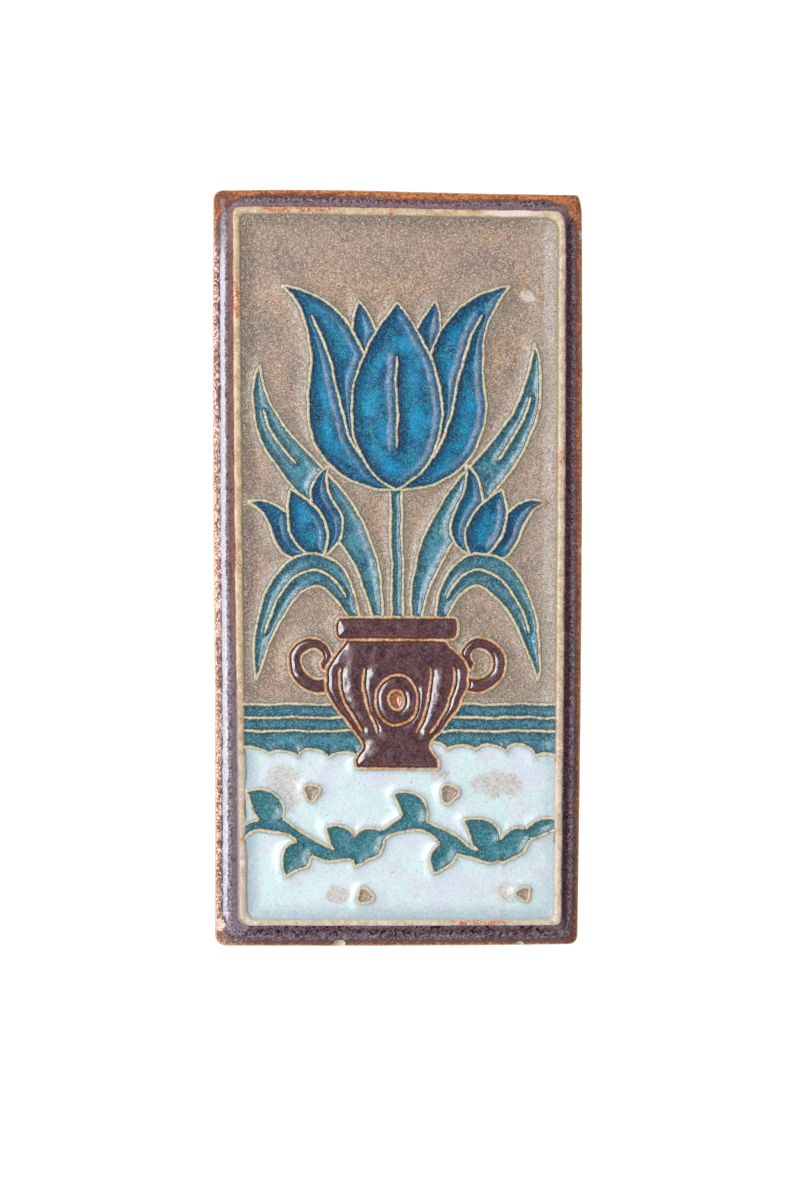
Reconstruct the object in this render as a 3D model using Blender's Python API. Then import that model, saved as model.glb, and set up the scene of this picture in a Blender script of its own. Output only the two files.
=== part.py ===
"""A moulded and glazed wall tile: a slab with a rounded border, a raised frame line and a sunk field.

Raised clay lines in the field part the glazes. They draw tulips in a two-handled pot on a scalloped ground.
The tile is modelled lying on its back, X across the picture, Y up it and Z towards the viewer, and then
stood upright. Its origin is the middle of its back, and its face looks along -Y.
"""

import math
from dataclasses import dataclass, field

import bmesh
import bpy
import numpy as np

MM = 0.001

# Slab: the corners of the outer edge and of the sunk field, seen from the front, from lower left anticlockwise.
# No corner is quite square, and the sides swell a little, as the clay was pressed and fired.
WIDTH = 104.6 * MM
HEIGHT = 214.6 * MM
THICKNESS = 16.0 * MM
OUTER_CORNERS = (
    np.array([-WIDTH / 2 + 0.6 * MM, -HEIGHT / 2]),
    np.array([WIDTH / 2 - 1.0 * MM, -HEIGHT / 2 + 0.4 * MM]),
    np.array([WIDTH / 2 + 0.4 * MM, HEIGHT / 2 - 1.4 * MM]),
    np.array([-WIDTH / 2 + 0.1 * MM, HEIGHT / 2]),
)
FIELD_WIDTH = 91.0 * MM
FIELD_HEIGHT = 200.6 * MM
FIELD_CORNERS = (
    np.array([-FIELD_WIDTH / 2 + 2.4 * MM, -FIELD_HEIGHT / 2 + 0.4 * MM]),
    np.array([FIELD_WIDTH / 2 - 0.4 * MM, -FIELD_HEIGHT / 2 + 0.2 * MM]),
    np.array([FIELD_WIDTH / 2 + 0.3 * MM, FIELD_HEIGHT / 2 - 0.8 * MM]),
    np.array([-FIELD_WIDTH / 2 + 0.4 * MM, FIELD_HEIGHT / 2 + 0.4 * MM]),
)
SIDE_BOWS = (0.25 * MM, 0.6 * MM, 0.4 * MM, 0.1 * MM)  # bottom, right, top, left
SIDE_SWINGS = (0.0, 0.0, -0.2 * MM, 0.2 * MM)
FIELD_BOW_SHARE = 0.25
OUTER_CORNER_REACHES = (  # how far each rounded corner runs back along the side before it, and on along the next
    (3.0 * MM, 3.0 * MM),
    (2.4 * MM, 2.4 * MM),
    (7.5 * MM, 1.6 * MM),
    (2.6 * MM, 2.6 * MM),
)
FIELD_CORNER_REACHES = (
    (2.6 * MM, 2.6 * MM),
    (1.6 * MM, 1.6 * MM),
    (3.6 * MM, 3.6 * MM),
    (2.0 * MM, 2.0 * MM),
)
SIDE_POINTS = 10
CORNER_POINTS = 4

# Border section: how far in from the outer edge, as a share of the border's width, and how high over the back
BACK_DRAFT = 0.16
FIELD_LEVEL = THICKNESS - 1.5 * MM
BORDER_SECTION = (
    (BACK_DRAFT, 0.0),
    (0.0, 11.4 * MM),
    (0.03, THICKNESS - 2.6 * MM),
    (0.11, THICKNESS - 1.35 * MM),
    (0.25, THICKNESS - 0.6 * MM),
    (0.44, THICKNESS - 0.25 * MM),
    (0.60, THICKNESS - 0.35 * MM),
    (0.66, THICKNESS - 0.6 * MM),
    (0.71, THICKNESS - 0.15 * MM),
    (0.82, THICKNESS),
    (0.92, THICKNESS - 0.35 * MM),
    (1.0, FIELD_LEVEL),
)

# Raised lines
LINE_RADIUS = 0.74 * MM
LINE_SINK = 0.12 * MM
LINE_STAGGER = 0.004 * MM  # each line lies a hair lower than the last, so no two crests meet at one height
LINE_TEST_STEP = 0.35 * MM
LINE_TOLERANCE = 0.08 * MM
SHORTEST_RUN = 1.4 * MM
WOBBLE = 0.15 * MM

# Shallow keying pockets in the back
POCKET_COLUMNS = 3
POCKET_ROWS = 6
POCKET_DEPTH = 1.6 * MM
POCKET_RIB = 4.5 * MM
BACK_MARGIN = 9.0 * MM
POCKET_DRAFT = 0.8 * MM

# Chips in the border: place seen from the front, size along X, Y and Z
CHIPS = (
    (np.array([-52.0, -100.6]) * MM, (1.9 * MM, 1.7 * MM, 2.4 * MM), 14.4 * MM),
    (np.array([-16.2, -107.9]) * MM, (1.8 * MM, 1.1 * MM, 2.4 * MM), 14.8 * MM),
    (np.array([52.9, 94.2]) * MM, (0.9 * MM, 2.4 * MM, 2.2 * MM), 14.2 * MM),
)

# Picture
STRIPE_LOW = -50.0 * MM
STRIPE_HEIGHT = 3.8 * MM
STRIPE_COUNT = 3
GROUND_TOP = -53.0 * MM
SCALLOP_PITCH = 8.4 * MM
SCALLOP_RISE = 2.0 * MM
VINE_Y = -77.0 * MM
VINE_SWING = 4.6 * MM
VINE_WAVE = 41.0 * MM
VINE_SHIFT = 6.0 * MM
VINE_HALF_WIDTH = 1.8 * MM
VINE_LEAF_FIRST = -34.0 * MM
VINE_LEAF_PITCH = 10.25 * MM
VINE_LEAF_COUNT = 8
VINE_LEAF_LENGTH = 13.0 * MM
VINE_LEAF_WIDTH = 8.6 * MM
DROPS = (  # x, y, mean radius, turn
    (-24.0 * MM, -63.5 * MM, 2.3 * MM, 0.4),
    (15.0 * MM, -64.0 * MM, 2.6 * MM, 2.2),
    (36.0 * MM, -92.5 * MM, 2.0 * MM, 1.0),
    (-9.0 * MM, -93.0 * MM, 2.2 * MM, 4.0),
)
POT_MOUTH = -14.0 * MM
POT_RIM_HALF = 17.2 * MM
POT_RIM_HEIGHT = 6.5 * MM
POT_FOOT = -57.0 * MM
BLOOM_BASE = 22.0 * MM
BLOOM_SIZE = 58.0 * MM
SIDE_BLOOM_BASE = (21.5 * MM, 3.0 * MM)
SIDE_BLOOM_SIZE = 23.0 * MM
SIDE_BLOOM_LEAN = 24.0
STEM_HALF_WIDTH = 1.6 * MM
TALL_LEAF_WIDTH = 10.0 * MM
LOW_LEAF_WIDTH = 9.5 * MM


@dataclass
class Figure:
    """One flat shape of the picture: its closed outline, and open lines inside it.

    Figures of one family run together, with no line between them.
    """

    outline: np.ndarray
    ribs: list = field(default_factory=list)
    family: str = ""


def bezier(start, lean_out, lean_in, end, count=24):
    """Points along one cubic curve."""
    t = np.linspace(0.0, 1.0, count)[:, None]
    corners = [np.array(p, float) for p in (start, lean_out, lean_in, end)]
    weights = ((1 - t) ** 3, 3 * (1 - t) ** 2 * t, 3 * (1 - t) * t**2, t**3)
    return sum(w * p for w, p in zip(weights, corners))


def chained(*runs):
    """Runs joined end to end, with each shared point kept once."""
    return np.concatenate([runs[0]] + [run[1:] for run in runs[1:]])


def mirrored(points):
    """The same points on the other side of the Y axis."""
    return points * np.array([-1.0, 1.0])


def placed(points, origin, lean_degrees, size):
    """Points scaled by size, leant clockwise and moved to origin."""
    a = math.radians(lean_degrees)
    turn = np.array([[math.cos(a), -math.sin(a)], [math.sin(a), math.cos(a)]])
    return points * size @ turn + np.array(origin)


def ribbon(spine, half_widths):
    """The closed outline of a band along a spine."""
    along = np.gradient(spine, axis=0)
    along /= np.linalg.norm(along, axis=1)[:, None]
    across = np.stack([-along[:, 1], along[:, 0]], axis=1) * np.reshape(half_widths, (-1, 1))
    return np.concatenate([spine + across, (spine - across)[::-1]])


def hand_drawn(points):
    """Points moved a little, as by an unsteady hand."""
    x, y = points[:, 0] / MM, points[:, 1] / MM
    shift_x = np.sin(0.43 * y + 1.3) + 0.6 * np.sin(0.91 * y + 0.37 * x + 0.4)
    shift_y = np.sin(0.39 * x + 0.5) + 0.6 * np.sin(0.83 * x + 0.31 * y + 2.1)
    return points + WOBBLE * np.stack([shift_x, shift_y], axis=1)


def resampled(points, step, closed):
    """Points at even steps along a line."""
    if closed:
        points = np.concatenate([points, points[:1]])
    reach = np.concatenate([[0.0], np.cumsum(np.linalg.norm(np.diff(points, axis=0), axis=1))])
    stations = np.linspace(0.0, reach[-1], max(3, int(reach[-1] / step) + 1))
    return np.stack([np.interp(stations, reach, points[:, k]) for k in (0, 1)], axis=1)


def simplified(points, tolerance):
    """The fewest of the points that stay within tolerance of the line."""
    if len(points) < 3:
        return points
    chord = points[-1] - points[0]
    length = np.linalg.norm(chord)
    offset = points - points[0]
    if length < tolerance:
        distance = np.linalg.norm(offset, axis=1)
    else:
        distance = np.abs(offset[:, 0] * chord[1] - offset[:, 1] * chord[0]) / length
    worst = int(np.argmax(distance))
    if distance[worst] <= tolerance:
        return points[[0, -1]]
    before = simplified(points[: worst + 1], tolerance)
    return np.concatenate([before[:-1], simplified(points[worst:], tolerance)])


def inside(points, outline):
    """Which points lie inside a closed outline."""
    x, y = points[:, 0], points[:, 1]
    found = np.zeros(len(points), bool)
    for (ax, ay), (bx, by) in zip(outline, np.roll(outline, -1, axis=0)):
        if ay != by:
            crosses = (ay > y) != (by > y)
            found ^= crosses & (x < ax + (y - ay) * (bx - ax) / (by - ay))
    return found


def stripes():
    """Level bands across the field, behind the pot."""
    xs = np.linspace(-FIELD_WIDTH / 2, FIELD_WIDTH / 2, 50) * 1.05
    made = []
    for k in range(STRIPE_COUNT):
        low = STRIPE_LOW + k * STRIPE_HEIGHT if k else GROUND_TOP - SCALLOP_RISE
        high = STRIPE_LOW + (k + 1) * STRIPE_HEIGHT
        lower = np.stack([xs, np.full_like(xs, low)], axis=1)
        upper = np.stack([xs, np.full_like(xs, high)], axis=1)
        made.append(Figure(np.concatenate([lower, upper[::-1]])))
    return made


def ground():
    """The lowest part of the picture, with a scalloped upper edge."""
    xs = np.linspace(-FIELD_WIDTH / 2, FIELD_WIDTH / 2, 220) * 1.05
    turn = xs / SCALLOP_PITCH + 0.3
    which = np.floor(turn)
    bump = np.sqrt(np.clip(1 - (2 * (turn - which) - 1) ** 2, 0, 1))
    rise = SCALLOP_RISE * (1 + 0.5 * np.sin(1.9 * which + 0.6))
    top = GROUND_TOP + rise * bump + 0.7 * SCALLOP_RISE * np.sin(xs / (11 * MM))
    floor = np.array([[xs[-1], -FIELD_HEIGHT * 0.52], [xs[0], -FIELD_HEIGHT * 0.52]])
    return [Figure(np.concatenate([np.stack([xs, top], axis=1), floor]))]


def vine_y(x):
    """Height of the vine's middle at x."""
    return VINE_Y + VINE_SWING * np.sin(2 * np.pi * (x + VINE_SHIFT) / VINE_WAVE)


def vine():
    """A waving stem across the ground, with leaves on alternate sides."""
    xs = np.linspace(-FIELD_WIDTH / 2, FIELD_WIDTH / 2, 120) * 1.02
    spine = np.stack([xs, vine_y(xs)], axis=1)
    made = [Figure(ribbon(spine, VINE_HALF_WIDTH * (1 + 0.25 * np.sin(xs / (2 * MM)))), family="vine")]
    t = np.linspace(0.0, 1.0, 18)
    blade = np.stack([0.12 * np.sin(np.pi * t), t], axis=1)
    half = 0.5 * VINE_LEAF_WIDTH / VINE_LEAF_LENGTH * np.sin(np.pi * t**0.8) ** 0.9
    for k in range(VINE_LEAF_COUNT):
        x = VINE_LEAF_FIRST + k * VINE_LEAF_PITCH
        lean = -138.0 if k % 2 else -42.0
        leaf = placed(ribbon(blade, half), (x, vine_y(x)), lean, VINE_LEAF_LENGTH * (1 - 0.1 * (k % 3)))
        made.append(Figure(leaf, family="vine"))
    return made


def drops():
    """Small three-cornered islands in the ground."""
    turn = np.linspace(0.0, 2 * np.pi, 20, endpoint=False)
    made = []
    for x, y, radius, start in DROPS:
        reach = radius * (1 + 0.16 * np.cos(3 * (turn - start)))
        made.append(Figure(np.stack([x + reach * np.cos(turn), y + reach * np.sin(turn)], axis=1)))
    return made


def leaf(start, lean_out, lean_in, tip, width, rib_start):
    """A long blade on one curve, with a midrib from point number rib_start."""
    spine = bezier(start, lean_out, lean_in, tip, 34)
    half = width / 2 * np.sin(np.pi * np.linspace(0.06, 1.0, len(spine))).clip(0) ** 0.75
    return Figure(ribbon(spine, half), [spine[rib_start:29]])


def both_sides(figure):
    """A figure and its mirror image."""
    return [figure, Figure(mirrored(figure.outline), [mirrored(rib) for rib in figure.ribs])]


def tall_leaves_and_stem():
    """The tall leaves, and the large bloom's stem out of the pot."""
    mouth = POT_MOUTH
    foot, bend, reach = (5.5 * MM, mouth), (9 * MM, 26 * MM), (42 * MM, 26 * MM)
    right = leaf(foot, bend, reach, (39 * MM, 64 * MM), TALL_LEAF_WIDTH, 19)
    left = leaf(foot, bend, reach, (39 * MM, 58 * MM), TALL_LEAF_WIDTH, 19)
    left = Figure(mirrored(left.outline), [mirrored(rib) for rib in left.ribs])
    stem = bezier((0, mouth), (0.8 * MM, 0), (-0.8 * MM, 10 * MM), (0, BLOOM_BASE + 2 * MM), 16)
    return [right, left, Figure(ribbon(stem, [STEM_HALF_WIDTH] * 16))]


def petals():
    """The petals of a bloom one unit tall, back ones first."""
    back = chained(
        bezier((0, 0.1), (0.18, 0.35), (0.27, 0.7), (0.19, 0.93)),
        bezier((0.19, 0.93), (0.07, 0.8), (0.02, 0.6), (0, 0.1)),
    )
    side = chained(
        bezier((0, 0), (0.30, 0), (0.47, 0.2), (0.43, 0.5)),
        bezier((0.43, 0.5), (0.40, 0.72), (0.44, 0.88), (0.56, 1)),
        bezier((0.56, 1), (0.30, 0.97), (0.17, 0.78), (0.12, 0.5)),
        bezier((0.12, 0.5), (0.08, 0.3), (0.03, 0.1), (0, 0)),
    )
    middle = chained(
        bezier((0, 0), (0.26, 0.12), (0.33, 0.52), (0, 0.92)),
        bezier((0, 0.92), (-0.33, 0.52), (-0.26, 0.12), (0, 0)),
    )
    side_rib = bezier((0.17, 0.16), (0.30, 0.30), (0.27, 0.62), (0.42, 0.86))
    middle_rib = bezier((0, 0.2), (0.01, 0.35), (-0.01, 0.5), (0, 0.66))
    return both_sides(Figure(back)) + both_sides(Figure(side, [side_rib])) + [Figure(middle, [middle_rib])]


def bloom(origin, lean, size, large):
    """A tulip with its base at origin. Only a large one has ribs and back petals."""
    return [
        Figure(
            placed(petal.outline, origin, lean, size),
            [placed(rib, origin, lean, size) for rib in petal.ribs if large],
        )
        for petal in (petals() if large else petals()[2:])
    ]


def blooms():
    """A small tulip on each side, and the large one."""
    x, y = SIDE_BLOOM_BASE
    right = bloom((x, y), SIDE_BLOOM_LEAN, SIDE_BLOOM_SIZE, False)
    left = bloom((-x, y), -SIDE_BLOOM_LEAN, SIDE_BLOOM_SIZE, False)
    return right + left + bloom((0, BLOOM_BASE), 0, BLOOM_SIZE, True)


def low_leaves():
    """The leaves that arch over and hang beside the pot."""
    start = (12 * MM, POT_MOUTH - 1 * MM)
    return both_sides(leaf(start, (19 * MM, 11 * MM), (37 * MM, 0), (40 * MM, -32 * MM), LOW_LEAF_WIDTH, 3))


def pot_half_width(y):
    """Half the pot's width at height y, from foot to neck."""
    heights = np.array([-57, -55.2, -53.4, -50.5, -46, -40, -34, -29, -25, -21.8, -20]) * MM
    halves = np.array([11.5, 12.5, 11.2, 9.0, 12.5, 17.5, 20.2, 20.4, 18.2, 14.6, 14.0]) * MM
    near = [np.interp(y + shift * MM, heights, halves) for shift in (-1.2, -0.6, 0.0, 0.6, 1.2)]
    return np.mean(near, axis=0)


def pot():
    """Two scrolled handles, the ribbed body, the rim and a round boss."""
    turn = np.radians(np.linspace(-150, 235, 40))
    reach = np.linspace(8.2, 2.4, 40) * MM
    scroll = np.stack([23 * MM + reach * np.cos(turn), -26 * MM + reach * np.sin(turn)], axis=1)
    handles = both_sides(Figure(ribbon(scroll, np.linspace(2.3, 1.3, 40) * MM)))

    ys = np.linspace(POT_FOOT, POT_MOUTH - POT_RIM_HEIGHT, 60)
    right = np.stack([pot_half_width(ys), ys], axis=1)
    rib_ys = np.linspace(-47, -28, 20) * MM
    ribs = [np.stack([share * pot_half_width(rib_ys), rib_ys], axis=1) for share in (-0.8, -0.47, 0.47, 0.8)]
    body = Figure(np.concatenate([right, mirrored(right)[::-1]]), ribs)

    w, top, low = POT_RIM_HALF, POT_MOUTH, POT_MOUTH - POT_RIM_HEIGHT
    right_end = bezier((w - 1 * MM, low), (w + 1 * MM, low + 1 * MM), (w + 0.5 * MM, top), (w - 1 * MM, top), 8)
    rim = Figure(np.concatenate([right_end, mirrored(right_end)[::-1]]))

    turn = np.linspace(0.0, 2 * np.pi, 28, endpoint=False)
    circle = np.stack([np.cos(turn), np.sin(turn)], axis=1)
    centre = np.array([0, -37.5]) * MM
    boss = Figure(centre + circle * np.array([6.0, 7.2]) * MM)
    eye = Figure(centre + circle * np.array([2.2, 2.9]) * MM)
    return handles + [body, rim, boss, eye]


def picture():
    """Every figure, the furthest back first."""
    made = stripes() + ground() + vine() + drops() + tall_leaves_and_stem() + blooms() + low_leaves() + pot()
    return [Figure(hand_drawn(f.outline), [hand_drawn(r) for r in f.ribs], f.family) for f in made]


def shown(points, place, figures, border):
    """Which points of figure number place aren't covered by another figure or by the border."""
    hidden = ~inside(points, border)
    for other, figure in enumerate(figures):
        kin = bool(figure.family) and figure.family == figures[place].family
        if (other > place and not kin) or (kin and other != place):
            hidden |= inside(points, figure.outline)
    return ~hidden


def raised_lines(figures, border):
    """The lines that show, each as its points and whether it closes on itself."""
    lines = []
    for place, figure in enumerate(figures):
        for closed, line in [(True, figure.outline)] + [(False, rib) for rib in figure.ribs]:
            points = resampled(line, LINE_TEST_STEP, closed)
            seen = shown(points, place, figures, border)
            if closed and seen.all():
                half = len(points) // 2
                halves = [simplified(p, LINE_TOLERANCE) for p in (points[: half + 1], points[half:])]
                lines.append((chained(*halves)[:-1], True))
                continue
            if closed and seen[0]:
                start = int(np.argmin(seen))
                points = np.concatenate([points[start:-1], points[: start + 1]])
                seen = np.concatenate([seen[start:-1], seen[: start + 1]])
            edges = np.flatnonzero(np.diff(np.concatenate([[0], seen.astype(int), [0]])))
            for first, last in zip(edges[::2], edges[1::2]):
                if (last - first - 1) * LINE_TEST_STEP >= SHORTEST_RUN:
                    lines.append((simplified(points[first:last], LINE_TOLERANCE), False))
    return lines


def rounded_corner(corner, before, after, reaches):
    """Points round a corner, between the sides that come from before and go to after."""
    back = (before - corner) / np.linalg.norm(before - corner) * reaches[0]
    on = (after - corner) / np.linalg.norm(after - corner) * reaches[1]
    return bezier(corner + back, corner + back * 0.45, corner + on * 0.45, corner + on, CORNER_POINTS)


def ring(share):
    """The closed outline at a share of the way from the outer edge (0) to the field (1)."""
    corners = [(1 - share) * o + share * f for o, f in zip(OUTER_CORNERS, FIELD_CORNERS)]
    reaches = (1 - share) * np.array(OUTER_CORNER_REACHES) + share * np.array(FIELD_CORNER_REACHES)
    turns = [rounded_corner(corners[k], corners[k - 1], corners[(k + 1) % 4], reaches[k]) for k in range(4)]
    bow_share = 1 - share * (1 - FIELD_BOW_SHARE)
    along = np.linspace(0, 1, SIDE_POINTS + 2)[1:-1, None]
    points = []
    for k, turn in enumerate(turns):
        start, end = turn[-1], turns[(k + 1) % 4][0]
        out = np.array([end[1] - start[1], start[0] - end[0]])
        out /= np.linalg.norm(out)
        swell = SIDE_BOWS[k] * 4 * along * (1 - along) + SIDE_SWINGS[k] * np.sin(2 * np.pi * along)
        points += [turn, start * (1 - along) + end * along + out * bow_share * swell]
    return np.concatenate(points)


def slab():
    """The tile's body: rings from the back, over the border and down to the field."""
    bm = bmesh.new()
    loops = []
    for share, height in BORDER_SECTION:
        verts = [bm.verts.new((x, y, height)) for x, y in ring(share)]
        loops.append([bm.edges.new((a, b)) for a, b in zip(verts, verts[1:] + verts[:1])])
    for lower, upper in zip(loops, loops[1:]):
        bmesh.ops.bridge_loops(bm, edges=lower + upper)
    for end in (loops[0], loops[-1]):
        bmesh.ops.contextual_create(bm, geom=end)
    bmesh.ops.recalc_face_normals(bm, faces=bm.faces)
    mesh = bpy.data.meshes.new("tile")
    bm.to_mesh(mesh)
    bm.free()
    return bpy.data.objects.new("tile", mesh)


def line_solid(number, points, closed, collection):
    """A raised line: a four-sided bar on edge, its lower half sunk in the slab."""
    curve = bpy.data.curves.new(f"line_{number}", "CURVE")
    curve.dimensions = "3D"
    curve.twist_mode = "Z_UP"
    curve.bevel_depth = LINE_RADIUS
    curve.bevel_resolution = 0
    curve.use_fill_caps = True
    spline = curve.splines.new("POLY")
    spline.points.add(len(points) - 1)
    for knot, (x, y) in zip(spline.points, points):
        knot.co = (x, y, FIELD_LEVEL - LINE_SINK - number % 9 * LINE_STAGGER, 1.0)
    spline.use_cyclic_u = closed
    guide = bpy.data.objects.new(curve.name, curve)
    collection.objects.link(guide)
    evaluated = guide.evaluated_get(bpy.context.evaluated_depsgraph_get())
    mesh = bpy.data.meshes.new_from_object(evaluated)
    bm = bmesh.new()
    bm.from_mesh(mesh)
    bmesh.ops.remove_doubles(bm, verts=bm.verts, dist=0.01 * MM)
    bmesh.ops.recalc_face_normals(bm, faces=bm.faces)
    bm.to_mesh(mesh)
    bm.free()
    solid = bpy.data.objects.new(f"raised_line_{number}", mesh)
    solid.matrix_world = guide.matrix_world
    bpy.data.objects.remove(guide)
    collection.objects.link(solid)
    as_tool(solid)


def as_tool(obj):
    """Marks an object as a shape that is only joined to or cut from the tile."""
    obj.hide_render = True
    obj.display_type = "WIRE"


def pocket_cutters(collection):
    """Flat pockets, narrower inside, in rows and columns on the back."""
    width = (WIDTH - 2 * BACK_MARGIN - (POCKET_COLUMNS - 1) * POCKET_RIB) / POCKET_COLUMNS
    height = (HEIGHT - 2 * BACK_MARGIN - (POCKET_ROWS - 1) * POCKET_RIB) / POCKET_ROWS
    for column in range(POCKET_COLUMNS):
        for row in range(POCKET_ROWS):
            bm = bmesh.new()
            bmesh.ops.create_cube(bm, size=1.0)
            bmesh.ops.scale(bm, vec=(width, height, 2 * POCKET_DEPTH), verts=bm.verts)
            upper = [v for v in bm.verts if v.co.z > 0]
            shrink = (1 - 2 * POCKET_DRAFT / width, 1 - 2 * POCKET_DRAFT / height, 1.0)
            bmesh.ops.scale(bm, vec=shrink, verts=upper)
            x = (column - (POCKET_COLUMNS - 1) / 2) * (width + POCKET_RIB)
            y = (row - (POCKET_ROWS - 1) / 2) * (height + POCKET_RIB)
            bmesh.ops.translate(bm, vec=(x, y, 0.0), verts=bm.verts)
            mesh = bpy.data.meshes.new(f"pocket_{column}_{row}")
            bm.to_mesh(mesh)
            bm.free()
            cutter = bpy.data.objects.new(mesh.name, mesh)
            collection.objects.link(cutter)
            as_tool(cutter)


def chip_cutters(collection):
    """Small rounded bites out of the border's edge."""
    for number, (place, size, height) in enumerate(CHIPS):
        bm = bmesh.new()
        bmesh.ops.create_icosphere(bm, subdivisions=2, radius=1.0)
        bmesh.ops.scale(bm, vec=size, verts=bm.verts)
        bmesh.ops.translate(bm, vec=(place[0], place[1], height), verts=bm.verts)
        mesh = bpy.data.meshes.new(f"chip_{number}")
        bm.to_mesh(mesh)
        bm.free()
        cutter = bpy.data.objects.new(mesh.name, mesh)
        collection.objects.link(cutter)
        as_tool(cutter)


def glaze():
    """The border's purple-brown glaze."""
    material = bpy.data.materials.new("border_glaze")
    material.use_nodes = True
    shader = material.node_tree.nodes["Principled BSDF"]
    shader.inputs["Base Color"].default_value = (0.13, 0.065, 0.08, 1.0)
    shader.inputs["Roughness"].default_value = 0.35
    shader.inputs["Metallic"].default_value = 0.0
    return material


def new_collection(name):
    """A collection in the scene."""
    collection = bpy.data.collections.new(name)
    bpy.context.scene.collection.children.link(collection)
    return collection


def combine(tile, operation, tools):
    """Joins or cuts every object of a collection to or from the tile."""
    modifier = tile.modifiers.new(tools.name, "BOOLEAN")
    modifier.operation = operation
    modifier.operand_type = "COLLECTION"
    modifier.collection = tools
    modifier.solver = "EXACT"


def main():
    """Builds the tile and stands it upright."""
    for obj in list(bpy.data.objects):
        bpy.data.objects.remove(obj)
    parts = new_collection("relief_wall_tile")
    lines = new_collection("raised_lines")
    pockets = new_collection("back_pockets")
    chips = new_collection("edge_chips")

    tile = slab()
    parts.objects.link(tile)
    tile.data.materials.append(glaze())
    border = ring(0.93)
    for number, (points, closed) in enumerate(raised_lines(picture(), border)):
        line_solid(number, points, closed, lines)
    pocket_cutters(pockets)
    chip_cutters(chips)
    combine(tile, "UNION", lines)
    combine(tile, "DIFFERENCE", pockets)
    combine(tile, "DIFFERENCE", chips)
    tile.rotation_euler = (math.radians(90), 0.0, 0.0)
    for tools in (lines, pockets, chips):
        for tool in tools.objects:
            tool.rotation_euler = (math.radians(90), 0.0, 0.0)


main()
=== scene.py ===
"""Looks of a moulded wall tile: fired clay, a glazed border, a raised frame line and pools of glaze.

Every piece is modelled lying on its back, X across the picture, Y up it and Z towards the viewer, and is then
stood upright, so that its face looks along -Y and its back lies in the plane Y = 0.
"""

import logging
import math
from dataclasses import dataclass, field
from enum import Enum
from typing import Sequence, Union

import bmesh
import bpy
import numpy as np
from mathutils import Matrix, Vector, kdtree, noise


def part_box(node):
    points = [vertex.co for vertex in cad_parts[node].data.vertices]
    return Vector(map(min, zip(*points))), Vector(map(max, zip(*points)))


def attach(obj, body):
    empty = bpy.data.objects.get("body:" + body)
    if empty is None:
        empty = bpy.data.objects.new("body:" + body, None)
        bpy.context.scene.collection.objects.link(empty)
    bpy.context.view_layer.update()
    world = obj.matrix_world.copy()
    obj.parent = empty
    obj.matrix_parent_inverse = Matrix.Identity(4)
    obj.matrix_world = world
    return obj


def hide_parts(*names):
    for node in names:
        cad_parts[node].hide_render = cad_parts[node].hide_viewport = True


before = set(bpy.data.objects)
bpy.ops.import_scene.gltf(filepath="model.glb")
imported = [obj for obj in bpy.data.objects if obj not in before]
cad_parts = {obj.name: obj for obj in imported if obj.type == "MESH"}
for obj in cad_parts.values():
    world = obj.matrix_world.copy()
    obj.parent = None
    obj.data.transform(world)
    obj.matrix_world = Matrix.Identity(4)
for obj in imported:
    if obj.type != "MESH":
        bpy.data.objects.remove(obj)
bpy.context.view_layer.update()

LOG = logging.getLogger("wall_tile")
MM = 0.001
NODE = "tile"
BODY = "root"
THICKNESS = -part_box(NODE)[0].y

Points = np.ndarray
Numbers = Union[float, np.ndarray]
Colour = tuple[float, float, float]
Socket = bpy.types.NodeSocket
Amount = Union[float, Socket]
Paint = Union[str, Socket]


class Glaze(Enum):
    """The glazes of the picture, each named for its material slot."""

    SKY = "sky_glaze"
    BLUE = "blue_glaze"
    TEAL = "teal_glaze"
    BROWN = "brown_glaze"
    RUST = "rust_glaze"
    WHITE = "white_glaze"


class Axis(Enum):
    """An axis, with its column in an array of points."""

    X = 0
    Y = 1
    Z = 2


@dataclass(frozen=True)
class PerSide:
    """One number for each side of the tile."""

    bottom: float
    right: float
    top: float
    left: float

    def in_order(self) -> tuple[float, float, float, float]:
        """The numbers in the order in which the outline runs."""
        return self.bottom, self.right, self.top, self.left


def srgb(code: str) -> Colour:
    """Turns a colour as seen on a screen into a linear one.

    Args:
        code: six hexadecimal digits after a hash sign.

    Returns:
        Red, green and blue from 0 to 1.
    """
    shares = [int(code[k : k + 2], 16) / 255 for k in (1, 3, 5)]
    return tuple(s / 12.92 if s <= 0.04045 else ((s + 0.055) / 1.055) ** 2.4 for s in shares)


def leant(colours: np.ndarray, code: str, share: np.ndarray) -> np.ndarray:
    """Colours leant towards another, each by its own share."""
    return colours + (np.array(srgb(code)) - colours) * np.reshape(share, (-1, 1))


def smooth_step(low: float, high: float, values: np.ndarray) -> np.ndarray:
    """Rises smoothly from 0 at low to 1 at high."""
    t = np.clip((values - low) / (high - low), 0.0, 1.0)
    return t * t * (3 - 2 * t)


def hump(values: np.ndarray, middle: Numbers, spread: Numbers) -> np.ndarray:
    """1 in the middle, and smoothly less to both sides."""
    return np.exp(-(((values - middle) / spread) ** 2))


@dataclass(frozen=True)
class Fade:
    """A smooth change along an axis of the lying tile, from none at one place to full at another, in mm."""

    axis: Axis
    none: float
    full: float

    def at(self, points: Points) -> np.ndarray:
        """How far the change has gone at each point, from 0 to 1."""
        return smooth_step(self.none * MM, self.full * MM, points[:, self.axis.value])


def within(points: Points, *fades: Fade) -> np.ndarray:
    """How far each point lies inside the zone that the fades bound, from 0 to 1."""
    return np.prod([fade.at(points) for fade in fades], axis=0)


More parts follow.
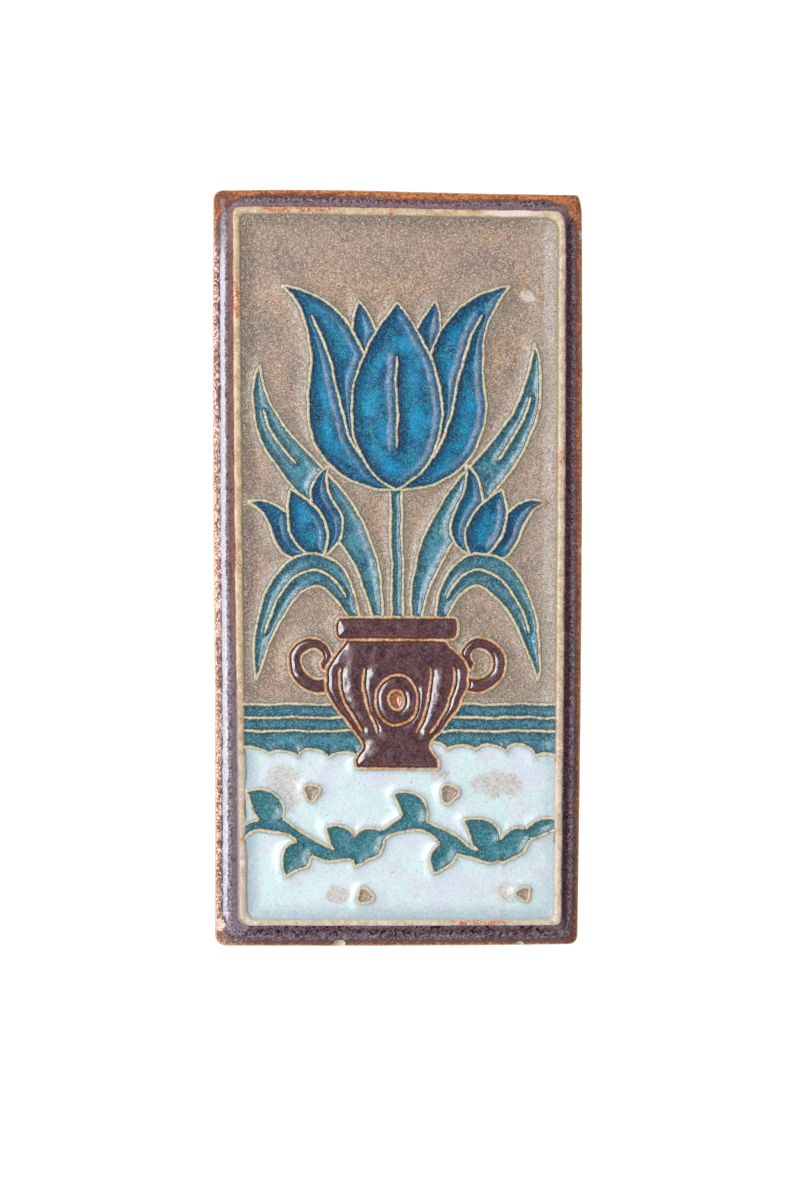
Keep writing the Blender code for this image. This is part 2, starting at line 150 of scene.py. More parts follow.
def swells(points: Points, *layers: tuple[float, float, float]) -> np.ndarray:
    """Smooth noise at places on the tile.

    Args:
        points: places, two or three numbers each.
        layers: for each layer, about how wide one swell is, how high it is, and the number of its pattern.

    Returns:
        The sum of the layers at each place.
    """
    depth = points[:, 2] if points.shape[1] > 2 else np.zeros(len(points))
    total = np.zeros(len(points))
    for size, height, seed in layers:
        spots = zip(points[:, 0] / size, points[:, 1] / size, depth / size + seed)
        total += height * np.array([noise.noise(Vector(spot)) for spot in spots])
    return total


def xy(x: Numbers, y: Numbers) -> Points:
    """Points from their two numbers, either of which may be the same for all."""
    return np.column_stack(np.broadcast_arrays(x, y))


def raised(flat: Points, height: Numbers) -> Points:
    """Flat points lifted to one height, or each to its own."""
    return np.column_stack([flat, np.broadcast_to(height, len(flat))])


def bezier(start: Sequence, lean_out: Sequence, lean_in: Sequence, end: Sequence, count: int = 24) -> Points:
    """Points along one cubic curve.

    Args:
        start, lean_out, lean_in, end: its four corners.
        count: how many points.

    Returns:
        The points, both ends among them.
    """
    t = np.linspace(0.0, 1.0, count)[:, None]
    corners = [np.array(p, float) for p in (start, lean_out, lean_in, end)]
    weights = ((1 - t) ** 3, 3 * (1 - t) ** 2 * t, 3 * (1 - t) * t**2, t**3)
    return sum(w * p for w, p in zip(weights, corners))


def chained(*runs: Points) -> Points:
    """Runs joined end to end, with each shared point kept once."""
    return np.concatenate([runs[0]] + [run[1:] for run in runs[1:]])


def mirrored(points: Points) -> Points:
    """The same points on the other side of the Y axis."""
    return points * np.array([-1.0, 1.0])


def both_sides(right: Points) -> Points:
    """The closed outline whose right half is given."""
    return np.concatenate([right, mirrored(right)[::-1]])


def placed(points: Points, origin: Sequence, lean_degrees: float, size: float) -> Points:
    """Points scaled by size, leant clockwise and moved to origin."""
    a = math.radians(lean_degrees)
    turn = np.array([[math.cos(a), -math.sin(a)], [math.sin(a), math.cos(a)]])
    return points * size @ turn + np.array(origin)


def ribbon(spine: Points, half_widths: Union[Sequence[float], np.ndarray]) -> Points:
    """The closed outline of a band along a spine."""
    along = np.gradient(spine, axis=0)
    along /= np.linalg.norm(along, axis=1)[:, None]
    across = xy(-along[:, 1], along[:, 0]) * np.reshape(half_widths, (-1, 1))
    return np.concatenate([spine + across, (spine - across)[::-1]])


def resampled(points: Points, step: float, closed: bool) -> Points:
    """Points at even steps along a line.

    Args:
        points: the line.
        step: about how far apart the new points are.
        closed: whether the line runs back to its first point, which is then repeated at the end.

    Returns:
        The new points.
    """
    if closed:
        points = np.concatenate([points, points[:1]])
    reach = np.concatenate([[0.0], np.cumsum(np.linalg.norm(np.diff(points, axis=0), axis=1))])
    stations = np.linspace(0.0, reach[-1], max(3, int(reach[-1] / step) + 1))
    return xy(*(np.interp(stations, reach, column) for column in points.T))


def inside(points: Points, outline: Points) -> np.ndarray:
    """Tells which points lie inside a closed outline."""
    found = np.zeros(len(points), bool)
    flat = points[:, :2]
    near = np.flatnonzero(((flat >= outline.min(axis=0)) & (flat <= outline.max(axis=0))).all(axis=1))
    x, y = flat[near].T
    crossed = np.zeros(len(near), bool)
    for (ax, ay), (bx, by) in zip(outline, np.roll(outline, -1, axis=0)):
        if ay != by:
            crossed ^= ((ay > y) != (by > y)) & (x < ax + (y - ay) * (bx - ax) / (by - ay))
    found[near] = crossed
    return found


def tree_of(points: Points) -> kdtree.KDTree:
    """A tree of flat points, for finding the nearest."""
    tree = kdtree.KDTree(len(points))
    for number, (x, y) in enumerate(points):
        tree.insert((x, y, 0.0), number)
    tree.balance()
    return tree


def distances(points: Points, tree: kdtree.KDTree) -> np.ndarray:
    """How far each point is from the nearest in a tree."""
    return np.array([tree.find((x, y, 0.0))[2] for x, y in points[:, :2]])


@dataclass(frozen=True)
class TileForm:
    """The slab's outline: its corners, its slightly swollen sides and its rounded corners.

    Attributes:
        width, height: the size over all, before the corners are shifted.
        field_width, field_height: the sunk field's size.
        outer_shifts, field_shifts: how far each corner has moved, in mm, from the lower left anticlockwise.
        side_bows, side_swings: how far each side swells out, and swings out and in.
        field_bow_share: how much of that the field's sides follow.
        outer_reaches, field_reaches: how far each rounded corner reaches back and on, in mm.
        line_starts: how far in the frame line begins on each side, as a share.
        draft, draft_height: the share by which the back is smaller, and the height where the draft ends.
        corner_points: how many points go round a corner.
        spacing: how far apart the points along a side are.
    """

    width: float = 104.6 * MM
    height: float = 214.6 * MM
    field_width: float = 91.0 * MM
    field_height: float = 200.6 * MM
    outer_shifts: tuple = ((0.6, 0.0), (-1.0, 0.4), (0.4, -1.4), (0.1, 0.0))
    field_shifts: tuple = ((2.7, 0.7), (-1.1, 0.75), (0.24, -1.35), (1.0, 0.05))
    side_bows: PerSide = PerSide(0.25 * MM, 0.6 * MM, 0.4 * MM, 0.1 * MM)
    side_swings: PerSide = PerSide(0.0, 0.0, -0.2 * MM, 0.2 * MM)
    field_bow_share: float = 0.25
    outer_reaches: tuple = ((3.0, 3.0), (2.4, 2.4), (7.5, 1.6), (2.6, 2.6))
    field_reaches: tuple = ((2.6, 2.6), (1.6, 1.6), (3.6, 3.6), (2.0, 2.0))
    line_starts: PerSide = PerSide(0.72, 0.63, 0.635, 0.675)
    draft: float = 0.16
    draft_height: float = 11.4 * MM
    corner_points: int = 14
    spacing: float = 0.5 * MM

    def corners(self, share: float) -> Points:
        """The corners at a share of the way in, from the lower left one anticlockwise."""
        signs = np.array([(-1, -1), (1, -1), (1, 1), (-1, 1)])
        outer = signs * np.array([self.width, self.height]) / 2 + np.array(self.outer_shifts) * MM
        inner = signs * np.array([self.field_width, self.field_height]) / 2 + np.array(self.field_shifts) * MM
        return (1 - share) * outer + share * inner

    def side_points(self, side: int) -> int:
        """How many points lie along one side, corners left out."""
        return round((self.height if side % 2 else self.width) / self.spacing)

    def ring(self, share: float) -> Points:
        """The closed outline at a share of the way in from the outer edge.

        Args:
            share: 0 at the outer edge, 1 at the field.

        Returns:
            Its points, anticlockwise from the lower left corner.
        """
        corners = self.corners(share)
        reaches = ((1 - share) * np.array(self.outer_reaches) + share * np.array(self.field_reaches)) * MM
        turns = []
        for k, corner in enumerate(corners):
            ways = (corners[k - 1] - corner, corners[(k + 1) % 4] - corner)
            back, on = (
                way / np.linalg.norm(way) * max(reach, 0.2 * MM) for way, reach in zip(ways, reaches[k])
            )
            bend = (corner + back, corner + back * 0.45, corner + on * 0.45, corner + on)
            turns.append(bezier(*bend, self.corner_points))
        bow_share = 1 - share * (1 - self.field_bow_share)
        points = []
        for k, (bow, swing) in enumerate(zip(self.side_bows.in_order(), self.side_swings.in_order())):
            along = np.linspace(0, 1, self.side_points(k) + 2)[1:-1, None]
            start, end = turns[k][-1], turns[(k + 1) % 4][0]
            out = np.array([end[1] - start[1], start[0] - end[0]])
            out /= np.linalg.norm(out)
            swell = bow * 4 * along * (1 - along) + swing * np.sin(2 * np.pi * along)
            points += [turns[k], start * (1 - along) + end * along + out * bow_share * swell]
        return np.concatenate(points)

    def across(self, shares: np.ndarray) -> Points:
        """The closed outline with each point its own share of the way in from the outer edge."""
        shares = np.reshape(shares, (-1, 1))
        return self.ring(0.0) * (1 - shares) + self.ring(1.0) * shares

    def by_side(self, each: PerSide) -> np.ndarray:
        """One number for each point of a ring, in its order and blended round the corners."""
        values = each.in_order()
        turn = np.linspace(0, 1, self.corner_points)
        runs = []
        for k, value in enumerate(values):
            runs += [values[k - 1] * (1 - turn) + value * turn, np.full(self.side_points(k), value)]
        return np.concatenate(runs)

    def line_start(self) -> np.ndarray:
        """How far in the frame line begins at each point, as a share."""
        return self.by_side(self.line_starts)


@dataclass
class Figure:
    """One flat shape of the picture: its closed outline, open lines inside it, and its glaze.

    Figures of one family run together, with no line between them.
    """

    outline: Points
    glaze: Glaze
    ribs: list[Points] = field(default_factory=list)
    family: str = ""

    def other_side(self) -> "Figure":
        """Its mirror image."""
        return Figure(mirrored(self.outline), self.glaze, [mirrored(rib) for rib in self.ribs], self.family)


@dataclass(frozen=True)
class Picture:
    """Tulips in a two-handled pot, over water and a scalloped ground with a leafy vine."""

    form: TileForm
    side_reach: float = 0.525
    stripe_low: float = -50.0 * MM
    stripe_height: float = 3.8 * MM
    stripe_count: int = 3
    ground_top: float = -53.0 * MM
    scallop_pitch: float = 8.4 * MM
    scallop_rise: float = 2.0 * MM
    vine_level: float = -77.0 * MM
    vine_swing: float = 4.6 * MM
    vine_wave: float = 41.0 * MM
    vine_shift: float = 6.0 * MM
    vine_half_width: float = 1.8 * MM
    vine_leaf_first: float = -34.0 * MM
    vine_leaf_pitch: float = 10.25 * MM
    vine_leaf_count: int = 8
    vine_leaf_length: float = 13.0 * MM
    vine_leaf_width: float = 8.6 * MM
    vine_leaf_leans: tuple = (-42.0, -138.0)
    drop_places: tuple = ((-24.0, -63.5), (15.0, -64.0), (36.0, -92.5), (-9.0, -93.0))
    drop_radii: tuple = (2.3, 2.6, 2.0, 2.2)
    drop_turns: tuple = (0.4, 2.2, 1.0, 4.0)
    pot_mouth: float = -14.0 * MM
    pot_rim_half: float = 17.2 * MM
    pot_rim_height: float = 6.5 * MM
    pot_foot: float = -57.0 * MM
    pot_heights: tuple = (-57, -55.2, -53.4, -50.5, -46, -40, -34, -29, -25, -21.8, -20)
    pot_halves: tuple = (11.5, 12.5, 11.2, 9.0, 12.5, 17.5, 20.2, 20.4, 18.2, 14.6, 14.0)
    pot_rib_shares: tuple = (-0.8, -0.47, 0.47, 0.8)
    handle_centre: tuple = (23 * MM, -26 * MM)
    boss_centre: tuple = (0.0, -37.5)
    bloom_base: float = 22.0 * MM
    bloom_size: float = 58.0 * MM
    side_bloom_base: tuple = (21.5 * MM, 3.0 * MM)
    side_bloom_size: float = 23.0 * MM
    side_bloom_lean: float = 24.0
    stem_half_width: float = 1.6 * MM
    tall_leaf_width: float = 10.0 * MM
    low_leaf_width: float = 9.5 * MM
    leaf_rib_end: int = 29
    wobble: float = 0.15 * MM

    def hand_drawn(self, points: Points) -> Points:
        """Points moved a little, as by an unsteady hand."""
        x, y = points.T / MM
        shift_x = np.sin(0.43 * y + 1.3) + 0.6 * np.sin(0.91 * y + 0.37 * x + 0.4)
        shift_y = np.sin(0.39 * x + 0.5) + 0.6 * np.sin(0.83 * x + 0.31 * y + 2.1)
        return points + self.wobble * xy(shift_x, shift_y)

    def stripes(self) -> list[Figure]:
        """Level bands of water across the field, behind the pot."""
        xs = np.linspace(-1, 1, 50) * self.form.field_width * self.side_reach
        made = []
        for k in range(self.stripe_count):
            low = self.stripe_low + k * self.stripe_height if k else self.ground_top - self.scallop_rise
            high = self.stripe_low + (k + 1) * self.stripe_height
            made.append(Figure(np.concatenate([xy(xs, low), xy(xs, high)[::-1]]), Glaze.TEAL))
        return made

    def ground(self) -> list[Figure]:
        """The lowest part of the picture, with a scalloped upper edge."""
        xs = np.linspace(-1, 1, 220) * self.form.field_width * self.side_reach
        turn = xs / self.scallop_pitch + 0.3
        which = np.floor(turn)
        bump = np.sqrt(np.clip(1 - (2 * (turn - which) - 1) ** 2, 0, 1))
        rise = self.scallop_rise * (1 + 0.5 * np.sin(1.9 * which + 0.6))
        top = self.ground_top + rise * bump + 0.7 * self.scallop_rise * np.sin(xs / (11 * MM))
        floor = xy(xs[[-1, 0]], -self.form.field_height * 0.52)
        return [Figure(np.concatenate([xy(xs, top), floor]), Glaze.WHITE)]

    def vine_height(self, x: Numbers) -> Numbers:
        """Height of the vine's middle at x."""
        return self.vine_level + self.vine_swing * np.sin(2 * np.pi * (x + self.vine_shift) / self.vine_wave)

    def vine(self) -> list[Figure]:
        """A waving stem across the ground, with leaves on alternate sides."""
        xs = np.linspace(-1, 1, 120) * self.form.field_width * 0.51
        half_widths = self.vine_half_width * (1 + 0.25 * np.sin(xs / (2 * MM)))
        outlines = [ribbon(xy(xs, self.vine_height(xs)), half_widths)]
        t = np.linspace(0.0, 1.0, 18)
        half = 0.5 * self.vine_leaf_width / self.vine_leaf_length * np.sin(np.pi * t**0.8) ** 0.9
        blade = ribbon(xy(0.12 * np.sin(np.pi * t), t), half)
        for k in range(self.vine_leaf_count):
            x = self.vine_leaf_first + k * self.vine_leaf_pitch
            size = self.vine_leaf_length * (1 - 0.1 * (k % 3))
            outlines.append(placed(blade, (x, self.vine_height(x)), self.vine_leaf_leans[k % 2], size))
        return [Figure(outline, Glaze.TEAL, family="vine") for outline in outlines]

    def drops(self) -> list[Figure]:
        """Small three-cornered islands in the ground."""
        turn = np.linspace(0.0, 2 * np.pi, 20, endpoint=False)
        made = []
        for (x, y), radius, start in zip(self.drop_places, self.drop_radii, self.drop_turns):
            reach = radius * (1 + 0.16 * np.cos(3 * (turn - start)))
            made.append(Figure(xy(x + reach * np.cos(turn), y + reach * np.sin(turn)) * MM, Glaze.SKY))
        return made

    def leaf(self, spine: Points, width: float, rib_start: int) -> Figure:
        """A long blade along a spine, with a midrib from point number rib_start."""
        half = width / 2 * np.sin(np.pi * np.linspace(0.06, 1.0, len(spine))).clip(0) ** 0.75
        return Figure(ribbon(spine, half), Glaze.TEAL, [spine[rib_start : self.leaf_rib_end]])

    def tall_leaves_and_stem(self) -> list[Figure]:
        """The tall leaves, and the large bloom's stem out of the pot."""
        mouth = self.pot_mouth
        foot, bend, reach = (5.5 * MM, mouth), (9 * MM, 26 * MM), (42 * MM, 26 * MM)
        right, left = (
            self.leaf(bezier(foot, bend, reach, (39 * MM, tip), 34), self.tall_leaf_width, 19)
            for tip in (64 * MM, 58 * MM)
        )
        head = self.bloom_base + 2 * MM
        stem = bezier((0, mouth), (0.8 * MM, 0), (-0.8 * MM, 10 * MM), (0, head), 16)
        return [right, left.other_side(), Figure(ribbon(stem, [self.stem_half_width] * 16), Glaze.TEAL)]

    def petals(self) -> list[Figure]:
        """The petals of a bloom one unit tall, back ones first."""
        back = chained(
            bezier((0, 0.1), (0.18, 0.35), (0.27, 0.7), (0.19, 0.93)),
            bezier((0.19, 0.93), (0.07, 0.8), (0.02, 0.6), (0, 0.1)),
        )
        side = chained(
            bezier((0, 0), (0.30, 0), (0.47, 0.2), (0.43, 0.5)),
            bezier((0.43, 0.5), (0.40, 0.72), (0.44, 0.88), (0.56, 1)),
            bezier((0.56, 1), (0.30, 0.97), (0.17, 0.78), (0.12, 0.5)),
            bezier((0.12, 0.5), (0.08, 0.3), (0.03, 0.1), (0, 0)),
        )
        middle = chained(
            bezier((0, 0), (0.26, 0.12), (0.33, 0.52), (0, 0.92)),
            bezier((0, 0.92), (-0.33, 0.52), (-0.26, 0.12), (0, 0)),
        )
        side_rib = bezier((0.17, 0.16), (0.30, 0.30), (0.27, 0.62), (0.42, 0.86))
        middle_rib = bezier((0, 0.2), (0.01, 0.35), (-0.01, 0.5), (0, 0.66))
        pairs = [Figure(back, Glaze.BLUE), Figure(side, Glaze.BLUE, [side_rib])]
        both = [petal for pair in pairs for petal in (pair, pair.other_side())]
        return both + [Figure(middle, Glaze.BLUE, [middle_rib])]

    def bloom(self, origin: Sequence, lean: float, size: float, large: bool) -> list[Figure]:
        """A tulip with its base at origin. Only a large one has ribs and back petals."""
        made = []
        for petal in self.petals() if large else self.petals()[2:]:
            ribs = [placed(rib, origin, lean, size) for rib in petal.ribs if large]
            made.append(Figure(placed(petal.outline, origin, lean, size), Glaze.BLUE, ribs))
        return made

    def blooms(self) -> list[Figure]:
        """A small tulip on each side, and the large one."""
        x, y = self.side_bloom_base
        right = self.bloom((x, y), self.side_bloom_lean, self.side_bloom_size, False)
        left = self.bloom((-x, y), -self.side_bloom_lean, self.side_bloom_size, False)
        return right + left + self.bloom((0, self.bloom_base), 0, self.bloom_size, True)

    def low_leaves(self) -> list[Figure]:
        """The leaves that arch over and hang beside the pot."""
        start = (12 * MM, self.pot_mouth - 1 * MM)
        spine = bezier(start, (19 * MM, 11 * MM), (37 * MM, 0), (40 * MM, -32 * MM), 34)
        right = self.leaf(spine, self.low_leaf_width, 3)
        return [right, right.other_side()]

    def pot_half_width(self, y: np.ndarray) -> np.ndarray:
        """Half the pot's width at height y, from foot to neck."""
        heights, halves = np.array(self.pot_heights) * MM, np.array(self.pot_halves) * MM
        near = [np.interp(y + shift * MM, heights, halves) for shift in (-1.2, -0.6, 0.0, 0.6, 1.2)]
        return np.mean(near, axis=0)

    def pot(self) -> list[Figure]:
        """Two scrolled handles, the ribbed body, the rim and a round boss with an eye."""
        turn = np.radians(np.linspace(-150, 235, 40))
        reach = np.linspace(8.2, 2.4, 40) * MM
        x, y = self.handle_centre
        scroll = xy(x + reach * np.cos(turn), y + reach * np.sin(turn))
        handle = Figure(ribbon(scroll, np.linspace(2.3, 1.3, 40) * MM), Glaze.BROWN)

        w, top, low = self.pot_rim_half, self.pot_mouth, self.pot_mouth - self.pot_rim_height
        ys, rib_ys = np.linspace(self.pot_foot, low, 60), np.linspace(-47, -28, 20) * MM
        ribs = [xy(share * self.pot_half_width(rib_ys), rib_ys) for share in self.pot_rib_shares]
        body = Figure(both_sides(xy(self.pot_half_width(ys), ys)), Glaze.BROWN, ribs)

        corners = ((w - 1 * MM, low), (w + 1 * MM, low + 1 * MM), (w + 0.5 * MM, top), (w - 1 * MM, top))
        rim = Figure(both_sides(bezier(*corners, 8)), Glaze.BROWN)

        turn = np.linspace(0.0, 2 * np.pi, 28, endpoint=False)
        circle = xy(np.cos(turn), np.sin(turn))
        centre = np.array(self.boss_centre) * MM
        boss = Figure(centre + circle * np.array([6.0, 7.2]) * MM, Glaze.BROWN)
        eye = Figure(centre + circle * np.array([2.2, 2.9]) * MM, Glaze.RUST)
        return [handle, handle.other_side(), body, rim, boss, eye]

    def figures(self) -> list[Figure]:
        """Every figure, the furthest back first."""
        back = self.stripes() + self.ground() + self.vine() + self.drops()
        front = self.tall_leaves_and_stem() + self.blooms() + self.low_leaves() + self.pot()
        return [
            Figure(self.hand_drawn(f.outline), f.glaze, [self.hand_drawn(rib) for rib in f.ribs], f.family)
            for f in back + front
        ]


@dataclass
class Line:
    """A raised line as seen from the front.

    Attributes:
        points: its middle, at even steps.
        closed: whether it runs back into its start.
        free_ends: whether its first and last ends stop clear of every other line.
    """

    points: Points
    closed: bool
    free_ends: tuple[bool, bool] = (False, False)


@dataclass
class LinePlan:
    """Finds which stretches of the figures' outlines and ribs show as raised lines."""

    form: TileForm
    figures: list[Figure]
    border_share: float = 0.93
    test_step: float = 0.35 * MM
    shortest_run: float = 1.4 * MM
    end_gap: float = 0.9 * MM

    def shown(self, points: Points, place: int, border: Points) -> np.ndarray:
        """Tells which points of a figure no other figure and no part of the border covers."""
        hidden = ~inside(points, border)
        for other, figure in enumerate(self.figures):
            kin = bool(figure.family) and figure.family == self.figures[place].family
            if (other > place and not kin) or (kin and other != place):
                hidden |= inside(points, figure.outline)
        return ~hidden

    def runs(self) -> list[Line]:
        """Every stretch of line that shows."""
        border = self.form.ring(self.border_share)
        lines = []
        for place, figure in enumerate(self.figures):
            for closed, drawn in [(True, figure.outline)] + [(False, rib) for rib in figure.ribs]:
                points = resampled(drawn, self.test_step, closed)
                seen = self.shown(points, place, border)
                if closed and seen.all():
                    lines.append(Line(points[:-1], True))
                    continue
                if closed and seen[0]:
                    start = int(np.argmin(seen))
                    points = np.concatenate([points[start:-1], points[: start + 1]])
                    seen = np.concatenate([seen[start:-1], seen[: start + 1]])
                edges = np.flatnonzero(np.diff(np.concatenate([[0], seen.astype(int), [0]])))
                for first, last in zip(edges[::2], edges[1::2]):
                    if (last - first - 1) * self.test_step >= self.shortest_run:
                        lines.append(Line(points[first:last], False))
        return lines

    def lines(self) -> list[Line]:
        """The lines that show, each told whether its ends are free."""
        found = self.runs()
        rim = self.form.ring(self.border_share)
        for number, line in enumerate(found):
            if not line.closed:
                others = np.concatenate([o.points for k, o in enumerate(found) if k != number] + [rim])
                ends = (line.points[0], line.points[-1])
                line.free_ends = tuple(np.linalg.norm(others - e, axis=1).min() > self.end_gap for e in ends)
        return found


@dataclass(frozen=True)
class Chip:
    """A small bite out of the border's edge.

    Attributes:
        place: its middle, seen from the front.
        size: its half widths along X, Y and Z.
        level: its middle's height over the back.
        inward: the direction from its middle into the clay.
    """

    place: tuple[float, float]
    size: tuple[float, float, float]
    level: float
    inward: tuple[float, float, float]

    def bitten(self, points: Points) -> tuple[Points, np.ndarray]:
        """Moves points that lie in the bite inwards to its wall.

        Args:
            points: places on a surface, three numbers each.

        Returns:
            The moved points, and how deep in the bite each one was, from 0 at its edge to 1.
        """
        size = np.array(self.size) * MM
        offset = (points - np.array([*self.place, self.level]) * MM) / size
        step = np.array(self.inward) / np.linalg.norm(self.inward) / size
        rough = 1 + swells(points, (1.3 * MM, 0.2, 7.0), (0.5 * MM, 0.1, 8.0))
        a, b, c = (step**2).sum(), offset @ step, (offset**2).sum(axis=1) - rough**2
        root = np.sqrt(np.maximum(b * b - a * c, 0.0))
        reach = np.where(c < 0, (-b + root) / a, 0.0)
        return points + reach[:, None] * step * size, np.clip(-c * 2.5, 0.0, 1.0)


CHIPS = (
    Chip((-50.4, -101.2), (1.7, 1.9, 1.1), 15.1, (0.3, 0.0, -1.0)),
    Chip((-16.2, -106.7), (1.5, 1.5, 1.9), 14.5, (0.0, 0.5, -1.0)),
    Chip((34.9, -106.8), (1.3, 0.8, 1.4), 14.3, (0.0, 0.5, -1.0)),
    Chip((51.9, 94.2), (0.8, 1.5, 1.0), 14.3, (0.0, 0.0, -1.0)),
    Chip((52.0, 5.0), (0.7, 0.9, 1.0), 14.3, (0.0, 0.0, -1.0)),
)


def chipped(points: Points) -> tuple[Points, np.ndarray]:
    """Cuts every chip into a surface.

    Args:
        points: its places.

    Returns:
        The moved points, and how deep in a chip each one was.
    """
    depth = np.zeros(len(points))
    for chip in CHIPS:
        points, deep = chip.bitten(points)
        depth = np.maximum(depth, deep)
    return points, depth


@dataclass(frozen=True)
class Mark:
    """A small flaw in a glaze.

    Attributes:
        place: its middle, seen from the front.
        size: its half widths.
        tone: 1 for a pale one, -1 for a dark one.
    """

    place: tuple[float, float]
    size: tuple[float, float]
    tone: float

    def at(self, points: Points) -> np.ndarray:
        """How strongly it shows at each point, with its sign."""
        offset = (points[:, :2] / MM - np.array(self.place)) / np.array(self.size)
        return self.tone * smooth_step(1.15, 0.55, np.linalg.norm(offset, axis=1))


FIELD_MARKS = (
    Mark((36.6, 77.3), (2.6, 2.1), 0.8),
    Mark((38.5, 75.8), (1.6, 1.8), 0.6),
    Mark((-29.2, 69.9), (0.4, 0.4), 1.2),
    Mark((-3.0, 76.5), (0.35, 0.35), 1.0),
    Mark((4.1, -60.8), (0.3, 0.55), -1.0),
)
GROUND_PATCHES = (
    Mark((-31.8, -62.4), (6.5, 8.0), 1.0),
    Mark((-16.8, -92.7), (4.4, 3.0), 1.0),
    Mark((28.4, -61.3), (9.0, 4.5), 0.9),
    Mark((32.6, -91.9), (6.5, 3.6), 0.9),
    Mark((12.7, -59.0), (3.5, 3.0), 0.8),
)
FRAME_MARKS = (
    Mark((-43.7, -83.4), (1.3, 0.8), 1.0),
    Mark((-45.4, -65.3), (1.7, 0.5), 1.0),
    Mark((33.0, 100.4), (11.0, 1.4), 0.6),
)
FRAME_RUST = (
    Mark((-28.5, 100.5), (14.0, 6.0), 1.0),
    Mark((-1.0, 100.0), (2.0, 5.0), 1.0),
    Mark((24.0, -99.5), (9.0, 5.0), 0.9),
    Mark((-45.5, 74.0), (5.0, 9.0), 0.8),
    Mark((-45.0, 8.0), (5.0, 14.0), 0.7),
)


def marked(points: Points, marks: tuple[Mark, ...]) -> np.ndarray:
    """How strongly all of these marks together show at each point."""
    return sum(mark.at(points) for mark in marks)


class Mixer:
    """Adds nodes to a node tree."""

    def __init__(self, tree: bpy.types.NodeTree) -> None:
        """Takes the tree that the nodes go into."""
        self.tree = tree

    def feed(self, target: Socket, value: Union[Amount, Paint, Sequence]) -> None:
        """Links a socket to an input, or writes a number or colour there."""
        if isinstance(value, bpy.types.NodeSocket):
            self.tree.links.new(value, target)
            return
        if isinstance(value, str):
            value = srgb(value)
        target.default_value = (*value, 1.0) if target.type == "RGBA" and len(value) == 3 else value

    def node(self, kind: str, **inputs: Union[Amount, Sequence]) -> bpy.types.Node:
        """Adds a node.

        Args:
            kind: its Blender type.
            inputs: a number, colour or socket for each input, with _ for a space in its name.

        Returns:
            The node.
        """
        made = self.tree.nodes.new(kind)
        for name, value in inputs.items():
            self.feed(made.inputs[name.replace("_", " ")], value)
        return made

    def ramp(self, value: Amount, low: float, high: float, start: float = 0.0, end: float = 1.0) -> Socket:
        """Changes smoothly from start at low to end at high."""
        limits = {"From_Min": low, "From_Max": high, "To_Min": start, "To_Max": end}
        made = self.node("ShaderNodeMapRange", Value=value, **limits)
        made.interpolation_type = "SMOOTHSTEP"
        return made.outputs["Result"]


